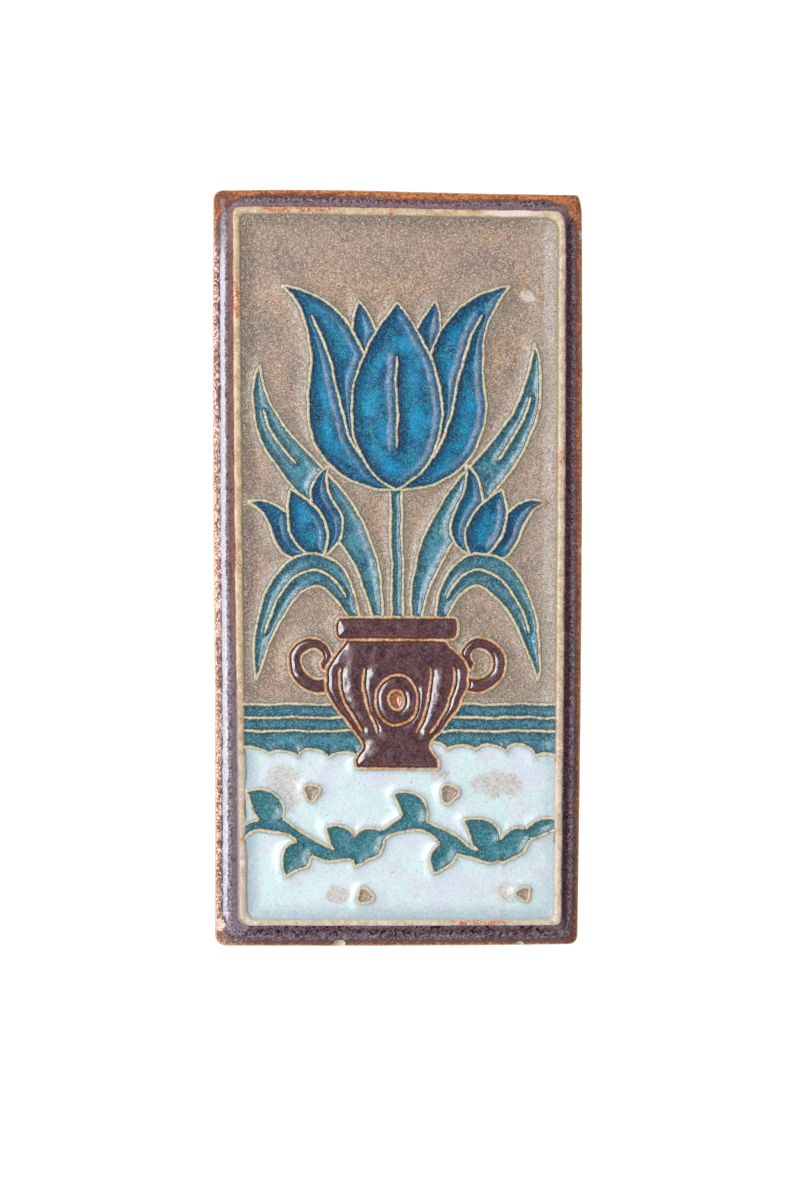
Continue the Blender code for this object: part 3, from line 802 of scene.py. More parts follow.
class Recipe(Mixer):
    """One material, mixed step by step from patterns that read Object coordinates and attributes."""

    def __init__(self, name: str) -> None:
        """Starts an empty mix with one shader.

        Args:
            name: the material's name.
        """
        self.material = bpy.data.materials.new(name)
        self.material.use_nodes = True
        super().__init__(self.material.node_tree)
        self.shader = self.tree.nodes["Principled BSDF"]
        self.place = self.node("ShaderNodeTexCoord").outputs["Object"]
        self.colour: Paint = "#808080"

    def shifted(self, x: float, y: float, z: float) -> Socket:
        """The place in the piece, moved to another part of a pattern."""
        return self.node("ShaderNodeMapping", Vector=self.place, Location=(x, y, z)).outputs[0]

    def grain(self, size: float, detail: float = 2.0, seed: float = 0.0) -> Socket:
        """Cloudy noise.

        Args:
            size: about how wide one cloud is.
            detail: how many finer layers it has.
            seed: moves to another part of the pattern.

        Returns:
            A number from 0 to 1.
        """
        vector = self.shifted(seed, -seed, seed) if seed else self.place
        return self.node("ShaderNodeTexNoise", Vector=vector, Scale=1 / size, Detail=detail).outputs["Fac"]

    def flecks(self, size: float, seed: float) -> Socket:
        """Distance to the nearest of scattered points, in shares of their spacing."""
        vector = self.shifted(seed, seed, -seed)
        return self.node("ShaderNodeTexVoronoi", Vector=vector, Scale=1 / size).outputs["Distance"]

    def cells(self, size: float, seed: float) -> Socket:
        """A random number from 0 to 1 for each small cell."""
        vector = self.shifted(-seed, seed, seed)
        return self.node("ShaderNodeTexVoronoi", Vector=vector, Scale=1 / size).outputs["Color"]

    def grit(self, fine: Socket, size: float, seed: float) -> Socket:
        """Crisp grains on fine noise, with a mean of 0.75 and most of them between 0.5 and 1."""
        return self.plus(fine, self.times(self.cells(size, seed), 0.5))

    def stored(self, name: str, output: str = "Fac") -> Socket:
        """A number stored at the mesh's points, or with "Color" a colour."""
        made = self.node("ShaderNodeAttribute")
        made.attribute_name = name
        return made.outputs[output]

    def frayed(self, name: str, depth: float, size: float, detail: float, seed: float = 0.0) -> Socket:
        """A stored number that noise of some depth makes ragged."""
        return self.plus(self.stored(name), self.times(self.grain(size, detail, seed), depth))

    def reckon(self, operation: str, first: Amount, *others: Amount) -> Socket:
        """Works through two or more numbers from left to right."""
        for other in others:
            made = self.node("ShaderNodeMath")
            made.operation = operation
            self.feed(made.inputs[0], first)
            self.feed(made.inputs[1], other)
            first = made.outputs[0]
        return first

    def times(self, *amounts: Amount) -> Socket:
        """Numbers multiplied."""
        return self.reckon("MULTIPLY", *amounts)

    def plus(self, *amounts: Amount) -> Socket:
        """Numbers added."""
        return self.reckon("ADD", *amounts)

    def blend(self, share: Amount, first: Paint, second: Paint) -> Socket:
        """Mixes two colours."""
        made = self.node("ShaderNodeMix")
        made.data_type = "RGBA"
        for number, value in ((0, share), (6, first), (7, second)):
            self.feed(made.inputs[number], value)
        return made.outputs[2]

    def cover(self, paint: Paint, share: Amount) -> None:
        """Covers a share of the colour so far with another."""
        self.colour = self.blend(share, self.colour, paint)

    def lay(self, paint: Paint, value: Amount, low: float, high: float, most: float = 1.0) -> None:
        """Covers the colour so far where a value has gone from low to high.

        Args:
            paint: the colour on top.
            value: what decides where it shows.
            low: where it starts to show.
            high: where it shows most.
            most: how much it covers there.
        """
        self.cover(paint, self.ramp(value, low, high, 0.0, most))

    def roughened(self, *layers: tuple[Socket, float, float]) -> None:
        """Gives the shader its relief.

        Args:
            layers: a height, a strength from 0 to 1 and a depth for each layer, coarse ones first.
        """
        normal = {}
        for height, strength, depth in layers:
            made = self.node("ShaderNodeBump", Height=height, Strength=strength, Distance=depth, **normal)
            normal = {"Normal": made.outputs["Normal"]}
        self.feed(self.shader.inputs["Normal"], normal["Normal"])

    def finished(self, roughness: Amount, **plain: Union[float, tuple]) -> bpy.types.Material:
        """Connects the colour and the roughness, and sets the shader's plain numbers.

        Args:
            roughness: a number or a socket.
            plain: other inputs of the shader, with _ for a space.

        Returns:
            The material.
        """
        self.feed(self.shader.inputs["Base Color"], self.colour)
        self.feed(self.shader.inputs["Roughness"], roughness)
        for name, number in plain.items():
            self.shader.inputs[name.replace("_", " ")].default_value = number
        return self.material


@dataclass(frozen=True)
class PoolFinish:
    """A glaze that lies in pools between raised lines.

    Attributes:
        glaze: which glaze it is.
        pale, deep: its colour in light and dark clouds.
        cloud: how wide those clouds are.
        accent: a third colour, in scattered patches.
        accent_size: how wide those patches are.
        accent_share: how strongly they show.
        shore: its colour against the raised lines; for the sky, blue and teal partly painted shade of the
            slopes there and partly thicker glaze, for the white painted shade.
        shore_reach: how far from a line that colour reaches, in mm.
        rim: its colour against the frame line; for the sky, blue and teal partly painted shade of the slope
            up to it and partly thicker glaze, for the white painted shade.
        light, dark: the colours of its light and dark grains.
        grain_share: how strongly they show.
        speck: the colour of its scattered specks.
        speck_gap: how far apart they lie.
        speck_radius: their radius, in shares of that gap.
        gloss: its roughness in smooth and in rough places.
        tinge: a colour that some of its grains lean to.
        tinge_share: how far they lean.
        rim_reach: how far from the frame line the rim's colour reaches, in mm.
        grain: how wide its grains are.
        relief: how deep its fine unevenness is.
        ior, coat: how much light its surface throws back.
        accent_start: how rare the patches are, from 0.4 for many to 0.6 for few, or 0 for set places.
        accent_grit: how much thicker the dark grains are in the patches.
        zone_axis, zone: where on the upright tile it leans to another colour, from none to full.
        zone_colour, zone_share: that colour, and how far it leans.
    """

    glaze: Glaze
    pale: str
    deep: str
    cloud: float
    accent: str
    accent_size: float
    accent_share: float
    shore: str
    shore_reach: float
    rim: str
    light: str
    dark: str
    grain_share: float
    speck: str
    speck_gap: float
    speck_radius: float
    gloss: tuple[float, float]
    tinge: str
    tinge_share: float
    rim_reach: float = 2.0
    grain: float = 0.38 * MM
    relief: float = 0.03 * MM
    ior: float = 1.5
    coat: float = 0.0
    accent_start: float = 0.48
    accent_grit: float = 1.2
    zone_axis: Axis = Axis.X
    zone: tuple[float, float] = (0.0, 1.0)
    zone_colour: str = "#000000"
    zone_share: float = 0.0

    def patches(self, mix: Recipe) -> Socket:
        """Where the third colour shows: all over, or at places stored in the mesh."""
        if self.accent_start:
            clouds = mix.grain(self.accent_size, 2.0, 3.1)
            return mix.ramp(clouds, self.accent_start, self.accent_start + 0.14)
        ragged = mix.times(mix.plus(mix.grain(self.accent_size, 4.0, 3.1), -0.5), 1.9)
        return mix.ramp(mix.plus(mix.stored("patchy"), ragged), 0.1, 1.0)

    def pool(self, mix: Recipe, patches: Socket) -> None:
        """Lays the open pool's clouds and patches, then its edges, then its leaning."""
        mix.colour = mix.blend(mix.ramp(mix.grain(self.cloud, 3.0), 0.34, 0.66), self.deep, self.pale)
        least = 0.0 if self.accent_start else 0.55
        broken = mix.ramp(mix.grit(mix.grain(0.6 * MM, 3.0, 0.4), 0.45 * MM, 3.9), 0.56, 0.9, least)
        mix.cover(self.accent, mix.times(patches, broken, self.accent_share))
        wander = mix.times(mix.plus(mix.grain(1.6 * MM, 3.0, 1.7), -0.5), 1.6)
        # Where darker, the colours at the frame line and beside the lines are painted shade of the glaze's
        # slopes, for some glazes with thicker glaze.
        mix.lay(self.rim, mix.plus(mix.stored("rim"), wander), self.rim_reach, 0.2)
        mix.lay(self.shore, mix.plus(mix.stored("shore"), wander), 0.5 + self.shore_reach, 0.3)
        # The leaning: for the sky a painted sheen towards its right margin, for the teal a greener tone low
        # down.
        axes = mix.node("ShaderNodeSeparateXYZ", Vector=mix.place)
        mix.lay(self.zone_colour, axes.outputs[self.zone_axis.name], *self.zone, self.zone_share)

    def grains(self, mix: Recipe, fine: Socket, patches: Socket) -> None:
        """Lays tinged, light and dark grains, and specks. The dark grains are thicker in the patches."""
        mix.lay(self.tinge, mix.cells(self.grain * 1.5, 1.9), 0.55, 0.85, self.tinge_share)
        grit = mix.grit(fine, self.grain, 0.6)
        mix.lay(self.light, grit, 0.76, 1.02, self.grain_share)
        thicker = mix.ramp(patches, 0.0, 1.0, 0.9, self.accent_grit)
        mix.cover(self.dark, mix.times(mix.ramp(grit, 0.74, 0.48, 0.0, self.grain_share), thicker))
        mix.lay(self.speck, mix.flecks(self.speck_gap, 0.3), self.speck_radius * 2, self.speck_radius, 0.8)

    def material(self) -> bpy.types.Material:
        """Mixes the material.

        Returns:
            The glaze's material.
        """
        mix = Recipe(self.glaze.value)
        fine, patches = mix.grain(self.grain, 3.0, 0.9), self.patches(mix)
        self.pool(mix, patches)
        self.grains(mix, fine, patches)
        scar = mix.frayed("scar", 1.8, 0.9 * MM, 4.0)
        mix.lay("#D6CFC8", scar, 1.3, 1.85, 0.75)
        mix.lay("#2A2422", scar, 0.3, -0.05)
        rough = mix.ramp(mix.grain(1.1 * MM, 3.0, 2.3), 0.35, 0.68, *self.gloss)
        rough = mix.plus(rough, mix.ramp(mix.stored("rim"), 0.4, 2.2, 0.3, 0.0))
        mix.roughened((mix.grain(2.2 * MM, 1.0, 4.0), 0.35, self.relief * 2), (fine, 0.5, self.relief))
        return mix.finished(rough, IOR=self.ior, Coat_Weight=self.coat, Coat_Roughness=0.06)


POOL_FINISHES = (
    PoolFinish(
        Glaze.SKY, pale="#A08774", deep="#867669", cloud=12 * MM,
        accent="#C09872", accent_size=13 * MM, accent_share=0.6,
        # Shore and rim: partly painted shade of the slopes, partly thicker glaze.
        shore="#8A8172", shore_reach=2.6, rim="#786C60", rim_reach=7.0,
        light="#DCC8B4", dark="#56463C", grain=0.36 * MM, grain_share=0.62,
        speck="#3E3028", speck_gap=1.7 * MM, speck_radius=0.06, gloss=(0.34, 0.6),
        tinge="#AC9290", tinge_share=0.4,
        # Paler towards the right margin: painted sheen where the margin's slope faces the main light.
        zone=(33 * MM, 44 * MM), zone_colour="#C4B8AC", zone_share=0.42,
    ),
    PoolFinish(
        Glaze.BLUE, pale="#008CB8", deep="#003E60", cloud=6.5 * MM,
        accent="#1A98A8", accent_size=4.0 * MM, accent_share=0.7,
        # Dark shore and rim: partly painted shade of the slopes, partly thicker glaze.
        shore="#04304A", shore_reach=4.4, rim="#0A3A52",
        light="#28A0CC", dark="#042A46", grain_share=0.6,
        speck="#A8D4E2", speck_gap=2.2 * MM, speck_radius=0.04, gloss=(0.28, 0.46),
        tinge="#3460AC", tinge_share=0.35,
    ),
    PoolFinish(
        Glaze.TEAL, pale="#40889A", deep="#205A6C", cloud=3.2 * MM,
        accent="#64A39C", accent_size=3.0 * MM, accent_share=0.8,
        # Dark shore and rim: partly painted shade of the slopes, partly thicker glaze.
        shore="#123E4A", shore_reach=2.2, rim="#2A5F70",
        light="#92C2D0", dark="#0E3844", grain_share=0.44,
        speck="#0D2C34", speck_gap=2.0 * MM, speck_radius=0.05, gloss=(0.2, 0.42),
        tinge="#2F6EA0", tinge_share=0.4, ior=1.55,
        zone_axis=Axis.Z, zone=(-46 * MM, -62 * MM), zone_colour="#1C6E6C", zone_share=0.5,
    ),
    PoolFinish(
        Glaze.BROWN, pale="#5C3735", deep="#381D20", cloud=2.6 * MM,
        accent="#7C5860", accent_size=2.4 * MM, accent_share=0.6,
        shore="#7A3B22", shore_reach=0.6, rim="#4C2C2C", rim_reach=1.0,
        light="#8E6C70", dark="#1A0D10", grain_share=0.42,
        speck="#A0673A", speck_gap=2.0 * MM, speck_radius=0.04, gloss=(0.09, 0.26),
        tinge="#6B4A6E", tinge_share=0.45, ior=1.75, coat=0.2,
    ),
    PoolFinish(
        Glaze.RUST, pale="#AE5A24", deep="#7B3418", cloud=1.2 * MM,
        accent="#C87A3C", accent_size=1.2 * MM, accent_share=0.5,
        shore="#4E2016", shore_reach=0.7, rim="#7B3418", rim_reach=1.0,
        light="#E0A060", dark="#4A1C10", grain=0.35 * MM, grain_share=0.6,
        speck="#3A1810", speck_gap=1.6 * MM, speck_radius=0.06, gloss=(0.1, 0.3),
        tinge="#8A4428", tinge_share=0.3, ior=1.7,
    ),
    PoolFinish(
        Glaze.WHITE, pale="#CFE7E5", deep="#D6DBE7", cloud=8 * MM,
        accent="#CAB3A9", accent_size=3 * MM, accent_share=0.85,
        # Grey-blue shore and rim: painted shade beside the lines and along the frame line.
        shore="#B2C4CA", shore_reach=1.4, rim="#A2B4BE", rim_reach=6.0,
        light="#EEF4F6", dark="#98A2A8", grain=0.4 * MM, grain_share=0.26,
        speck="#3E4448", speck_gap=2.1 * MM, speck_radius=0.05, gloss=(0.23, 0.38), relief=0.02 * MM,
        tinge="#BFD8D4", tinge_share=0.35, ior=1.55, accent_start=0.0, accent_grit=3.2,
    ),
)


@dataclass(frozen=True)
class ClayLineFinish:
    """Thinly glazed clay along the raised lines, stained by the glazes beside it."""

    name: str = "raised_line"

    def material(self) -> bpy.types.Material:
        """Mixes the material.

        Returns:
            The lines' material.
        """
        mix = Recipe(self.name)
        mix.colour = mix.stored("crest_tint", "Color")
        mix.lay("#D8C8A8", mix.grain(2.2 * MM, 3.0, 1.1), 0.35, 0.65, 0.4)
        mix.lay("#DCC4AE", mix.grain(5.0 * MM, 2.0, 4.4), 0.48, 0.62, 0.6)
        fine = mix.grain(0.3 * MM, 3.0)
        grit = mix.grit(fine, 0.4 * MM, 6.3)
        mix.lay("#E8DCC4", grit, 0.78, 1.02, 0.6)
        mix.lay("#8A6A48", grit, 0.72, 0.48, 0.65)
        mix.lay("#A8693A", mix.grain(3.6 * MM, 2.0, 7.0), 0.60, 0.72, 0.6)
        lapped = mix.frayed("lap", 1.3, 1.0 * MM, 3.0, 2.2)
        mix.lay(mix.stored("flank_tint", "Color"), lapped, 0.78, 1.45)
        mix.roughened((fine, 0.5, 0.05 * MM))
        return mix.finished(mix.ramp(mix.grain(0.6 * MM, 2.0), 0.35, 0.65, 0.25, 0.5), IOR=1.5)


@dataclass(frozen=True)
class FrameLineFinish:
    """The cream frame line, with rust that breaks through in speckled patches."""

    name: str = "frame_line"

    def material(self) -> bpy.types.Material:
        """Mixes the material.

        Returns:
            The frame line's material.
        """
        mix = Recipe(self.name)
        clouds = mix.ramp(mix.grain(2.6 * MM, 3.0), 0.35, 0.65)
        tan, cream = mix.blend(clouds, "#B99A76", "#D2BD9E"), mix.blend(clouds, "#C4AE98", "#D6C8B6")
        mix.colour = mix.blend(mix.stored("cream"), tan, cream)
        fine = mix.grain(0.34 * MM, 3.0, 0.6)
        grit = mix.grit(fine, 0.4 * MM, 3.6)
        mix.lay("#F4E9D8", grit, 0.78, 1.02, 0.5)
        mix.lay("#9C7A58", grit, 0.70, 0.46, 0.5)
        patches = mix.plus(mix.grain(7.0 * MM, 3.0, 5.0), mix.times(mix.stored("rusty"), 0.27))
        speckle = mix.ramp(mix.grit(mix.grain(0.4 * MM, 2.0, 2.0), 0.42 * MM, 8.2), 0.70, 0.86)
        mix.cover("#B4561C", mix.times(mix.ramp(patches, 0.66, 0.74), speckle, 0.95))
        mix.lay("#EADCD8", mix.stored("scar"), 0.3, 0.7, 0.85)
        lapped = mix.frayed("lap", 0.7, 0.9 * MM, 3.0, 2.2)
        mix.lay(mix.stored("flank_tint", "Color"), lapped, 0.62, 1.2)
        rough = mix.ramp(mix.grain(0.7 * MM, 2.0), 0.35, 0.65, 0.22, 0.5)
        rough = mix.plus(rough, mix.ramp(mix.stored("lap"), 0.4, 1.2, 0.0, 0.4))
        mix.roughened((mix.grain(1.6 * MM, 1.0, 3.0), 0.4, 0.14 * MM), (fine, 0.5, 0.05 * MM))
        return mix.finished(rough, IOR=1.4)


@dataclass(frozen=True)
class BorderFinish:
    """Dark purple-brown glaze, rusty on the edges, milky where thick, chipped to the clay; with painted
    sheen, shade and glints.
    """

    name: str = "border_glaze"
    sheen: tuple = (0.9, 0.93, 1.0, 1.0)

    def glaze(self, mix: Recipe, fine: Socket) -> Paint:
        """The purple-brown of the crest and the darker foot beside the frame line, the foot partly pooled
        glaze and partly painted shade.
        """
        milk, blush, spotty = (mix.stored(name) for name in ("milk", "blush", "spotty"))
        mix.colour = mix.blend(mix.ramp(mix.grain(2.6 * MM, 3.0), 0.36, 0.64), "#331A20", "#523034")
        mottle = mix.ramp(mix.grit(mix.grain(0.9 * MM, 4.0, 1.4), 0.5 * MM, 2.7), 0.62, 0.88)
        # Milky crest: partly the glaze's own bloom, partly painted sheen. On the side facing the main light
        # it turns bluer, a painted tint of the highlight.
        mix.cover(mix.blend(blush, "#9A8594", "#A0909C"), mix.times(mottle, milk))
        green = mix.ramp(mix.grain(1.2 * MM, 2.0, 6.0), 0.54, 0.66)
        mix.cover("#6F6E66", mix.times(green, milk, 0.5))
        lip = mix.frayed("rust", 0.5, 0.9 * MM, 3.0, 7.2)
        # On the side facing the main light the lip turns violet, a painted fringe of the highlight.
        mix.lay(mix.blend(blush, "#4C1614", "#7A4652"), lip, 0.35, 0.75, 0.85)
        # The dark foot beside the frame line: partly pooled glaze, partly painted shade, in each side's own
        # colour.
        foot = mix.times(mix.stored("foot"), mix.ramp(mix.grain(0.8 * MM, 2.0, 9.0), 0.3, 0.6, 0.6))
        mix.cover(mix.stored("foot_tint", "Color"), foot)
        grit, strength = mix.grit(fine, 0.42 * MM, 4.2), mix.stored("grit")
        milky = mix.ramp(milk, 0.0, 0.4, 0.3)
        mix.cover("#B4A0AC", mix.times(mix.ramp(grit, 0.78, 1.02, 0.0, 0.55), strength, milky))
        mix.cover("#1E0F14", mix.times(mix.ramp(grit, 0.72, 0.5, 0.0, 0.85), strength))
        spots = mix.plus(mix.grain(1.3 * MM, 2.0, 12.0), mix.times(spotty, -0.09))
        mix.cover("#190B12", mix.times(mix.ramp(spots, 0.36, 0.28, 0.0, 0.85), strength))
        red = mix.plus(mix.grain(1.8 * MM, 1.0, 15.0), mix.times(spotty, 0.08))
        mix.lay("#4C1420", red, 0.66, 0.74, 0.6)
        return mix.colour

    def rust(self, mix: Recipe, fine: Socket, ragged: Socket) -> Paint:
        """The rusty edge: lighter at the very edge, where the glaze is worn thin and painted rim light
        brightens it, and with painted glints where the main light strikes it.
        """
        mix.colour, edge = mix.stored("rust_tint", "Color"), mix.stored("edge")
        mix.lay("#4A1A0E", mix.grain(1.1 * MM, 4.0, 8.0), 0.58, 0.40, 0.6)
        grit = mix.grit(fine, 0.4 * MM, 5.1)
        open_edge = mix.ramp(mix.stored("corner"), 0.15, 0.6, 1.0, 0.3)
        mix.cover("#F4B060", mix.times(mix.ramp(grit, 0.78, 1.02, 0.0, 0.75), open_edge))
        mix.lay("#4E180C", grit, 0.72, 0.48, 0.85)
        mix.lay("#56221E", mix.frayed("rust", 0.6, 1.6 * MM, 3.0, 11.0), 1.25, 0.85, 0.8)
        # Lighter at the very edge: glaze worn thin, brightened further as painted rim light.
        mix.lay("#FCC888", mix.plus(edge, mix.times(ragged, 0.9)), 0.32, 0.95, 0.95)
        # Painted glints: pale grains on the outer band, only where the main light falls.
        glints = mix.plus(mix.cells(0.42 * MM, 7.7), mix.times(mix.grain(2.2 * MM, 2.0, 9.4), 0.9))
        outer = mix.ramp(mix.plus(edge, mix.times(ragged, 0.8)), -0.3, 0.2)
        mix.cover("#F8DECB", mix.times(mix.ramp(glints, 0.86, 1.04), mix.stored("blush"), outer))
        return mix.colour

    def material(self) -> bpy.types.Material:
        """Mixes the material.

        Returns:
            The border's material.
        """
        mix = Recipe(self.name)
        fine = mix.grain(0.36 * MM, 3.0, 0.7)
        ragged = mix.plus(mix.grain(1.2 * MM, 4.0, 3.3), -0.5)
        rusty = mix.ramp(mix.plus(mix.stored("rust"), mix.times(ragged, 1.1)), 0.3, 0.7)
        bare = mix.ramp(mix.plus(mix.stored("chip"), mix.times(ragged, 0.4)), 0.15, 0.35)
        mix.colour = mix.blend(rusty, self.glaze(mix, fine), self.rust(mix, fine, ragged))
        mix.cover(mix.blend(mix.ramp(mix.grain(0.35 * MM, 2.0), 0.4, 0.6), "#CCB49C", "#EEDFCF"), bare)
        rough = mix.ramp(mix.grain(0.9 * MM, 3.0, 2.0), 0.35, 0.66, 0.09, 0.2)
        for share, more in ((rusty, 0.3), (bare, 0.4), (mix.stored("dull"), 0.4)):
            rough = mix.plus(rough, mix.times(share, more))
        pitted = mix.times(mix.grain(0.5 * MM, 2.0, 5.5), mix.ramp(rusty, 0.0, 1.0, 0.03))
        mix.roughened((mix.grain(1.8 * MM, 2.0, 3.0), 0.35, 0.12 * MM), (pitted, 0.9, 0.16 * MM))
        return mix.finished(rough, IOR=1.7, Specular_Tint=self.sheen, Coat_Weight=0.35, Coat_Roughness=0.08)


@dataclass(frozen=True)
class BareClayFinish:
    """Fired buff clay with grog, stained brown towards the glaze."""

    name: str = "bare_clay"

    def material(self) -> bpy.types.Material:
        """Mixes the material.

        Returns:
            The clay's material.
        """
        mix = Recipe(self.name)
        mix.colour = mix.blend(mix.ramp(mix.grain(14.0 * MM, 3.0), 0.35, 0.65), "#C9A77C", "#DABD94")
        mix.lay("#B98B5E", mix.grain(2.2 * MM, 3.0, 1.0), 0.52, 0.72, 0.35)
        fine = mix.grain(0.5 * MM, 3.0, 2.0)
        mix.lay("#EAD7B8", fine, 0.55, 0.75, 0.5)
        mix.lay("#8A5A3A", mix.flecks(1.9 * MM, 0.8), 0.2, 0.10, 0.8)
        # Painted shade: the floors of the back's pockets darker.
        mix.cover("#9C7850", mix.times(mix.stored("sunk"), 0.6))
        mix.cover("#DCCAB4", mix.stored("chip"))
        mix.lay("#8C5432", mix.frayed("stain", 0.5, 2.5 * MM, 3.0, 4.0), 0.6, 1.2, 0.8)
        mix.roughened((mix.grain(3.0 * MM, 3.0, 5.0), 0.5, 0.25 * MM), (fine, 0.6, 0.08 * MM))
        return mix.finished(mix.ramp(fine, 0.3, 0.7, 0.72, 0.92), IOR=1.45)


def linked(name: str, data: Union[bpy.types.Mesh, bpy.types.Curve, bpy.types.Light]) -> bpy.types.Object:
    """Puts an object that holds the data into the scene."""
    made = bpy.data.objects.new(name, data)
    bpy.context.scene.collection.objects.link(made)
    return made


def finished_piece(name: str, mesh: bpy.types.Mesh, material: bpy.types.Material) -> None:
    """Stands a lying mesh upright and makes it a piece of the tile.

    Args:
        name: the piece's name.
        mesh: its mesh, lying on its back.
        material: its finish.
    """
    mesh.transform(Matrix.Rotation(math.pi / 2, 4, "X"))
    mesh.materials.clear()
    mesh.materials.append(material)
    mesh.shade_smooth()
    mesh.name = name
    piece = linked(name, mesh)
    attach(piece, BODY)
    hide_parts(NODE)
    LOG.info("%s: %d triangles", name, sum(len(p.vertices) - 2 for p in mesh.polygons))


def store(mesh: bpy.types.Mesh, **layers: np.ndarray) -> None:
    """Keeps named numbers or colours, one for each point of a mesh."""
    for name, values in layers.items():
        if values.ndim == 1:
            mesh.attributes.new(name, "FLOAT", "POINT").data.foreach_set("value", values.astype(np.float32))
        else:
            four = np.column_stack([values, np.ones(len(values))]).astype(np.float32)
            mesh.attributes.new(name, "FLOAT_COLOR", "POINT").data.foreach_set("color", four.ravel())


def places_of(mesh: bpy.types.Mesh) -> Points:
    """The mesh's points as an array."""
    flat = np.empty(len(mesh.vertices) * 3, np.float32)
    mesh.vertices.foreach_get("co", flat)
    return flat.reshape(-1, 3).astype(float)


def move(mesh: bpy.types.Mesh, places: Points) -> None:
    """Moves the mesh's points to new places."""
    mesh.vertices.foreach_set("co", places.astype(np.float32).ravel())
    mesh.update()


def lofted(rings: Sequence[Points], closed: bool) -> bmesh.types.BMesh:
    """A skin over rings of equally many points.

    The rings are joined as a straight stack first, where no ring can be matched the wrong way round.

    Args:
        rings: each ring's points, three numbers each.
        closed: whether the last ring joins the first. If not, both ends are filled.

    Returns:
        The skin, with its faces outwards and its points in the rings' order.
    """
    bm = bmesh.new()
    loops = []
    for level in range(len(rings)):
        verts = [bm.verts.new((x, y, level)) for x, y, _ in rings[0]]
        loops.append([bm.edges.new((a, b)) for a, b in zip(verts, verts[1:] + verts[:1])])
    for lower, upper in list(zip(loops, loops[1:])) + ([(loops[-1], loops[0])] if closed else []):
        bmesh.ops.bridge_loops(bm, edges=lower + upper)
    for end in () if closed else (loops[0], loops[-1]):
        bmesh.ops.contextual_create(bm, geom=end)
    for vert, place in zip(bm.verts, np.concatenate(rings)):
        vert.co = place
    bmesh.ops.recalc_face_normals(bm, faces=bm.faces)
    return bm


def mesh_from(bm: bmesh.types.BMesh, name: str) -> bpy.types.Mesh:
    """Turns a bmesh into a mesh and frees it."""
    mesh = bpy.data.meshes.new(name)
    bm.to_mesh(mesh)
    bm.free()
    return mesh


def opened(helper: bpy.types.Object) -> bmesh.types.BMesh:
    """Turns a helper object, as its settings and modifiers shape it, into a bmesh and removes it."""
    mesh = bpy.data.meshes.new_from_object(helper.evaluated_get(bpy.context.evaluated_depsgraph_get()))
    bpy.data.objects.remove(helper)
    bm = bmesh.new()
    bm.from_mesh(mesh)
    bpy.data.meshes.remove(mesh)
    return bm


@dataclass(frozen=True)
class Levels:
    """Heights over the back that the pieces share."""

    top: float = THICKNESS
    floor: float = THICKNESS - 1.75 * MM
    ridge: float = THICKNESS - 0.72 * MM
    shore: float = THICKNESS - 1.0 * MM
    rim: float = THICKNESS - 0.45 * MM
    under: float = THICKNESS - 2.6 * MM
    margin_reach: float = 4.4 * MM
    bank_reach: float = 0.35 * MM

    @property
    def full_rise(self) -> float:
        """How far the glaze climbs at the frame line."""
        return self.rim - self.floor

    def margin_rise(self, rim: np.ndarray, climb: float = 0.82) -> np.ndarray:
        """How far a glaze has climbed at each distance from the frame line.

        Args:
            rim: the distances.
            climb: the share of the rise that is a long, gentle slope.

        Returns:
            Heights over the floor.
        """
        inwards = np.maximum(rim, 0.0)
        slope = np.clip(1 - inwards / self.margin_reach, 0.0, 1.0) ** 1.2
        return self.full_rise * (climb * slope + (1 - climb) * np.exp(-inwards / self.bank_reach))


@dataclass
class FieldMap:
    """Tells, for any place in the field, its glaze and how far the raised lines and the frame line are."""

    form: TileForm
    figures: list[Figure]
    lines: list[Line]
    rim_share: float = 0.96
    line_step: float = 0.12 * MM
    free_tip: float = 1.3 * MM

    def __post_init__(self) -> None:
        """Builds the search trees. The glaze does not climb the free tips of lines, so these are left out."""
        kept = []
        for line in self.lines:
            fine = resampled(line.points, self.line_step, line.closed)
            first, last = (round(self.free_tip / self.line_step) if free else 0 for free in line.free_ends)
            kept.append(fine[first : len(fine) - last])
        self.line_tree = tree_of(np.concatenate(kept))
        self.rim = self.form.ring(self.rim_share)
        self.rim_tree = tree_of(resampled(self.rim, self.line_step, True))

    def glazes(self, points: Points) -> np.ndarray:
        """The glaze at each place, as its number in Glaze's order."""
        order = list(Glaze)
        found = np.full(len(points), order.index(Glaze.SKY))
        for figure in self.figures:
            found[inside(points, figure.outline)] = order.index(figure.glaze)
        return found

    def to_line(self, points: Points) -> np.ndarray:
        """How far the middle of the nearest raised line is."""
        return distances(points, self.line_tree)

    def to_rim(self, points: Points) -> np.ndarray:
        """How far in from the frame line's inner edge each place is, below 0 outside it."""
        gaps = distances(points, self.rim_tree)
        return np.where(inside(points, self.rim), gaps, -gaps)


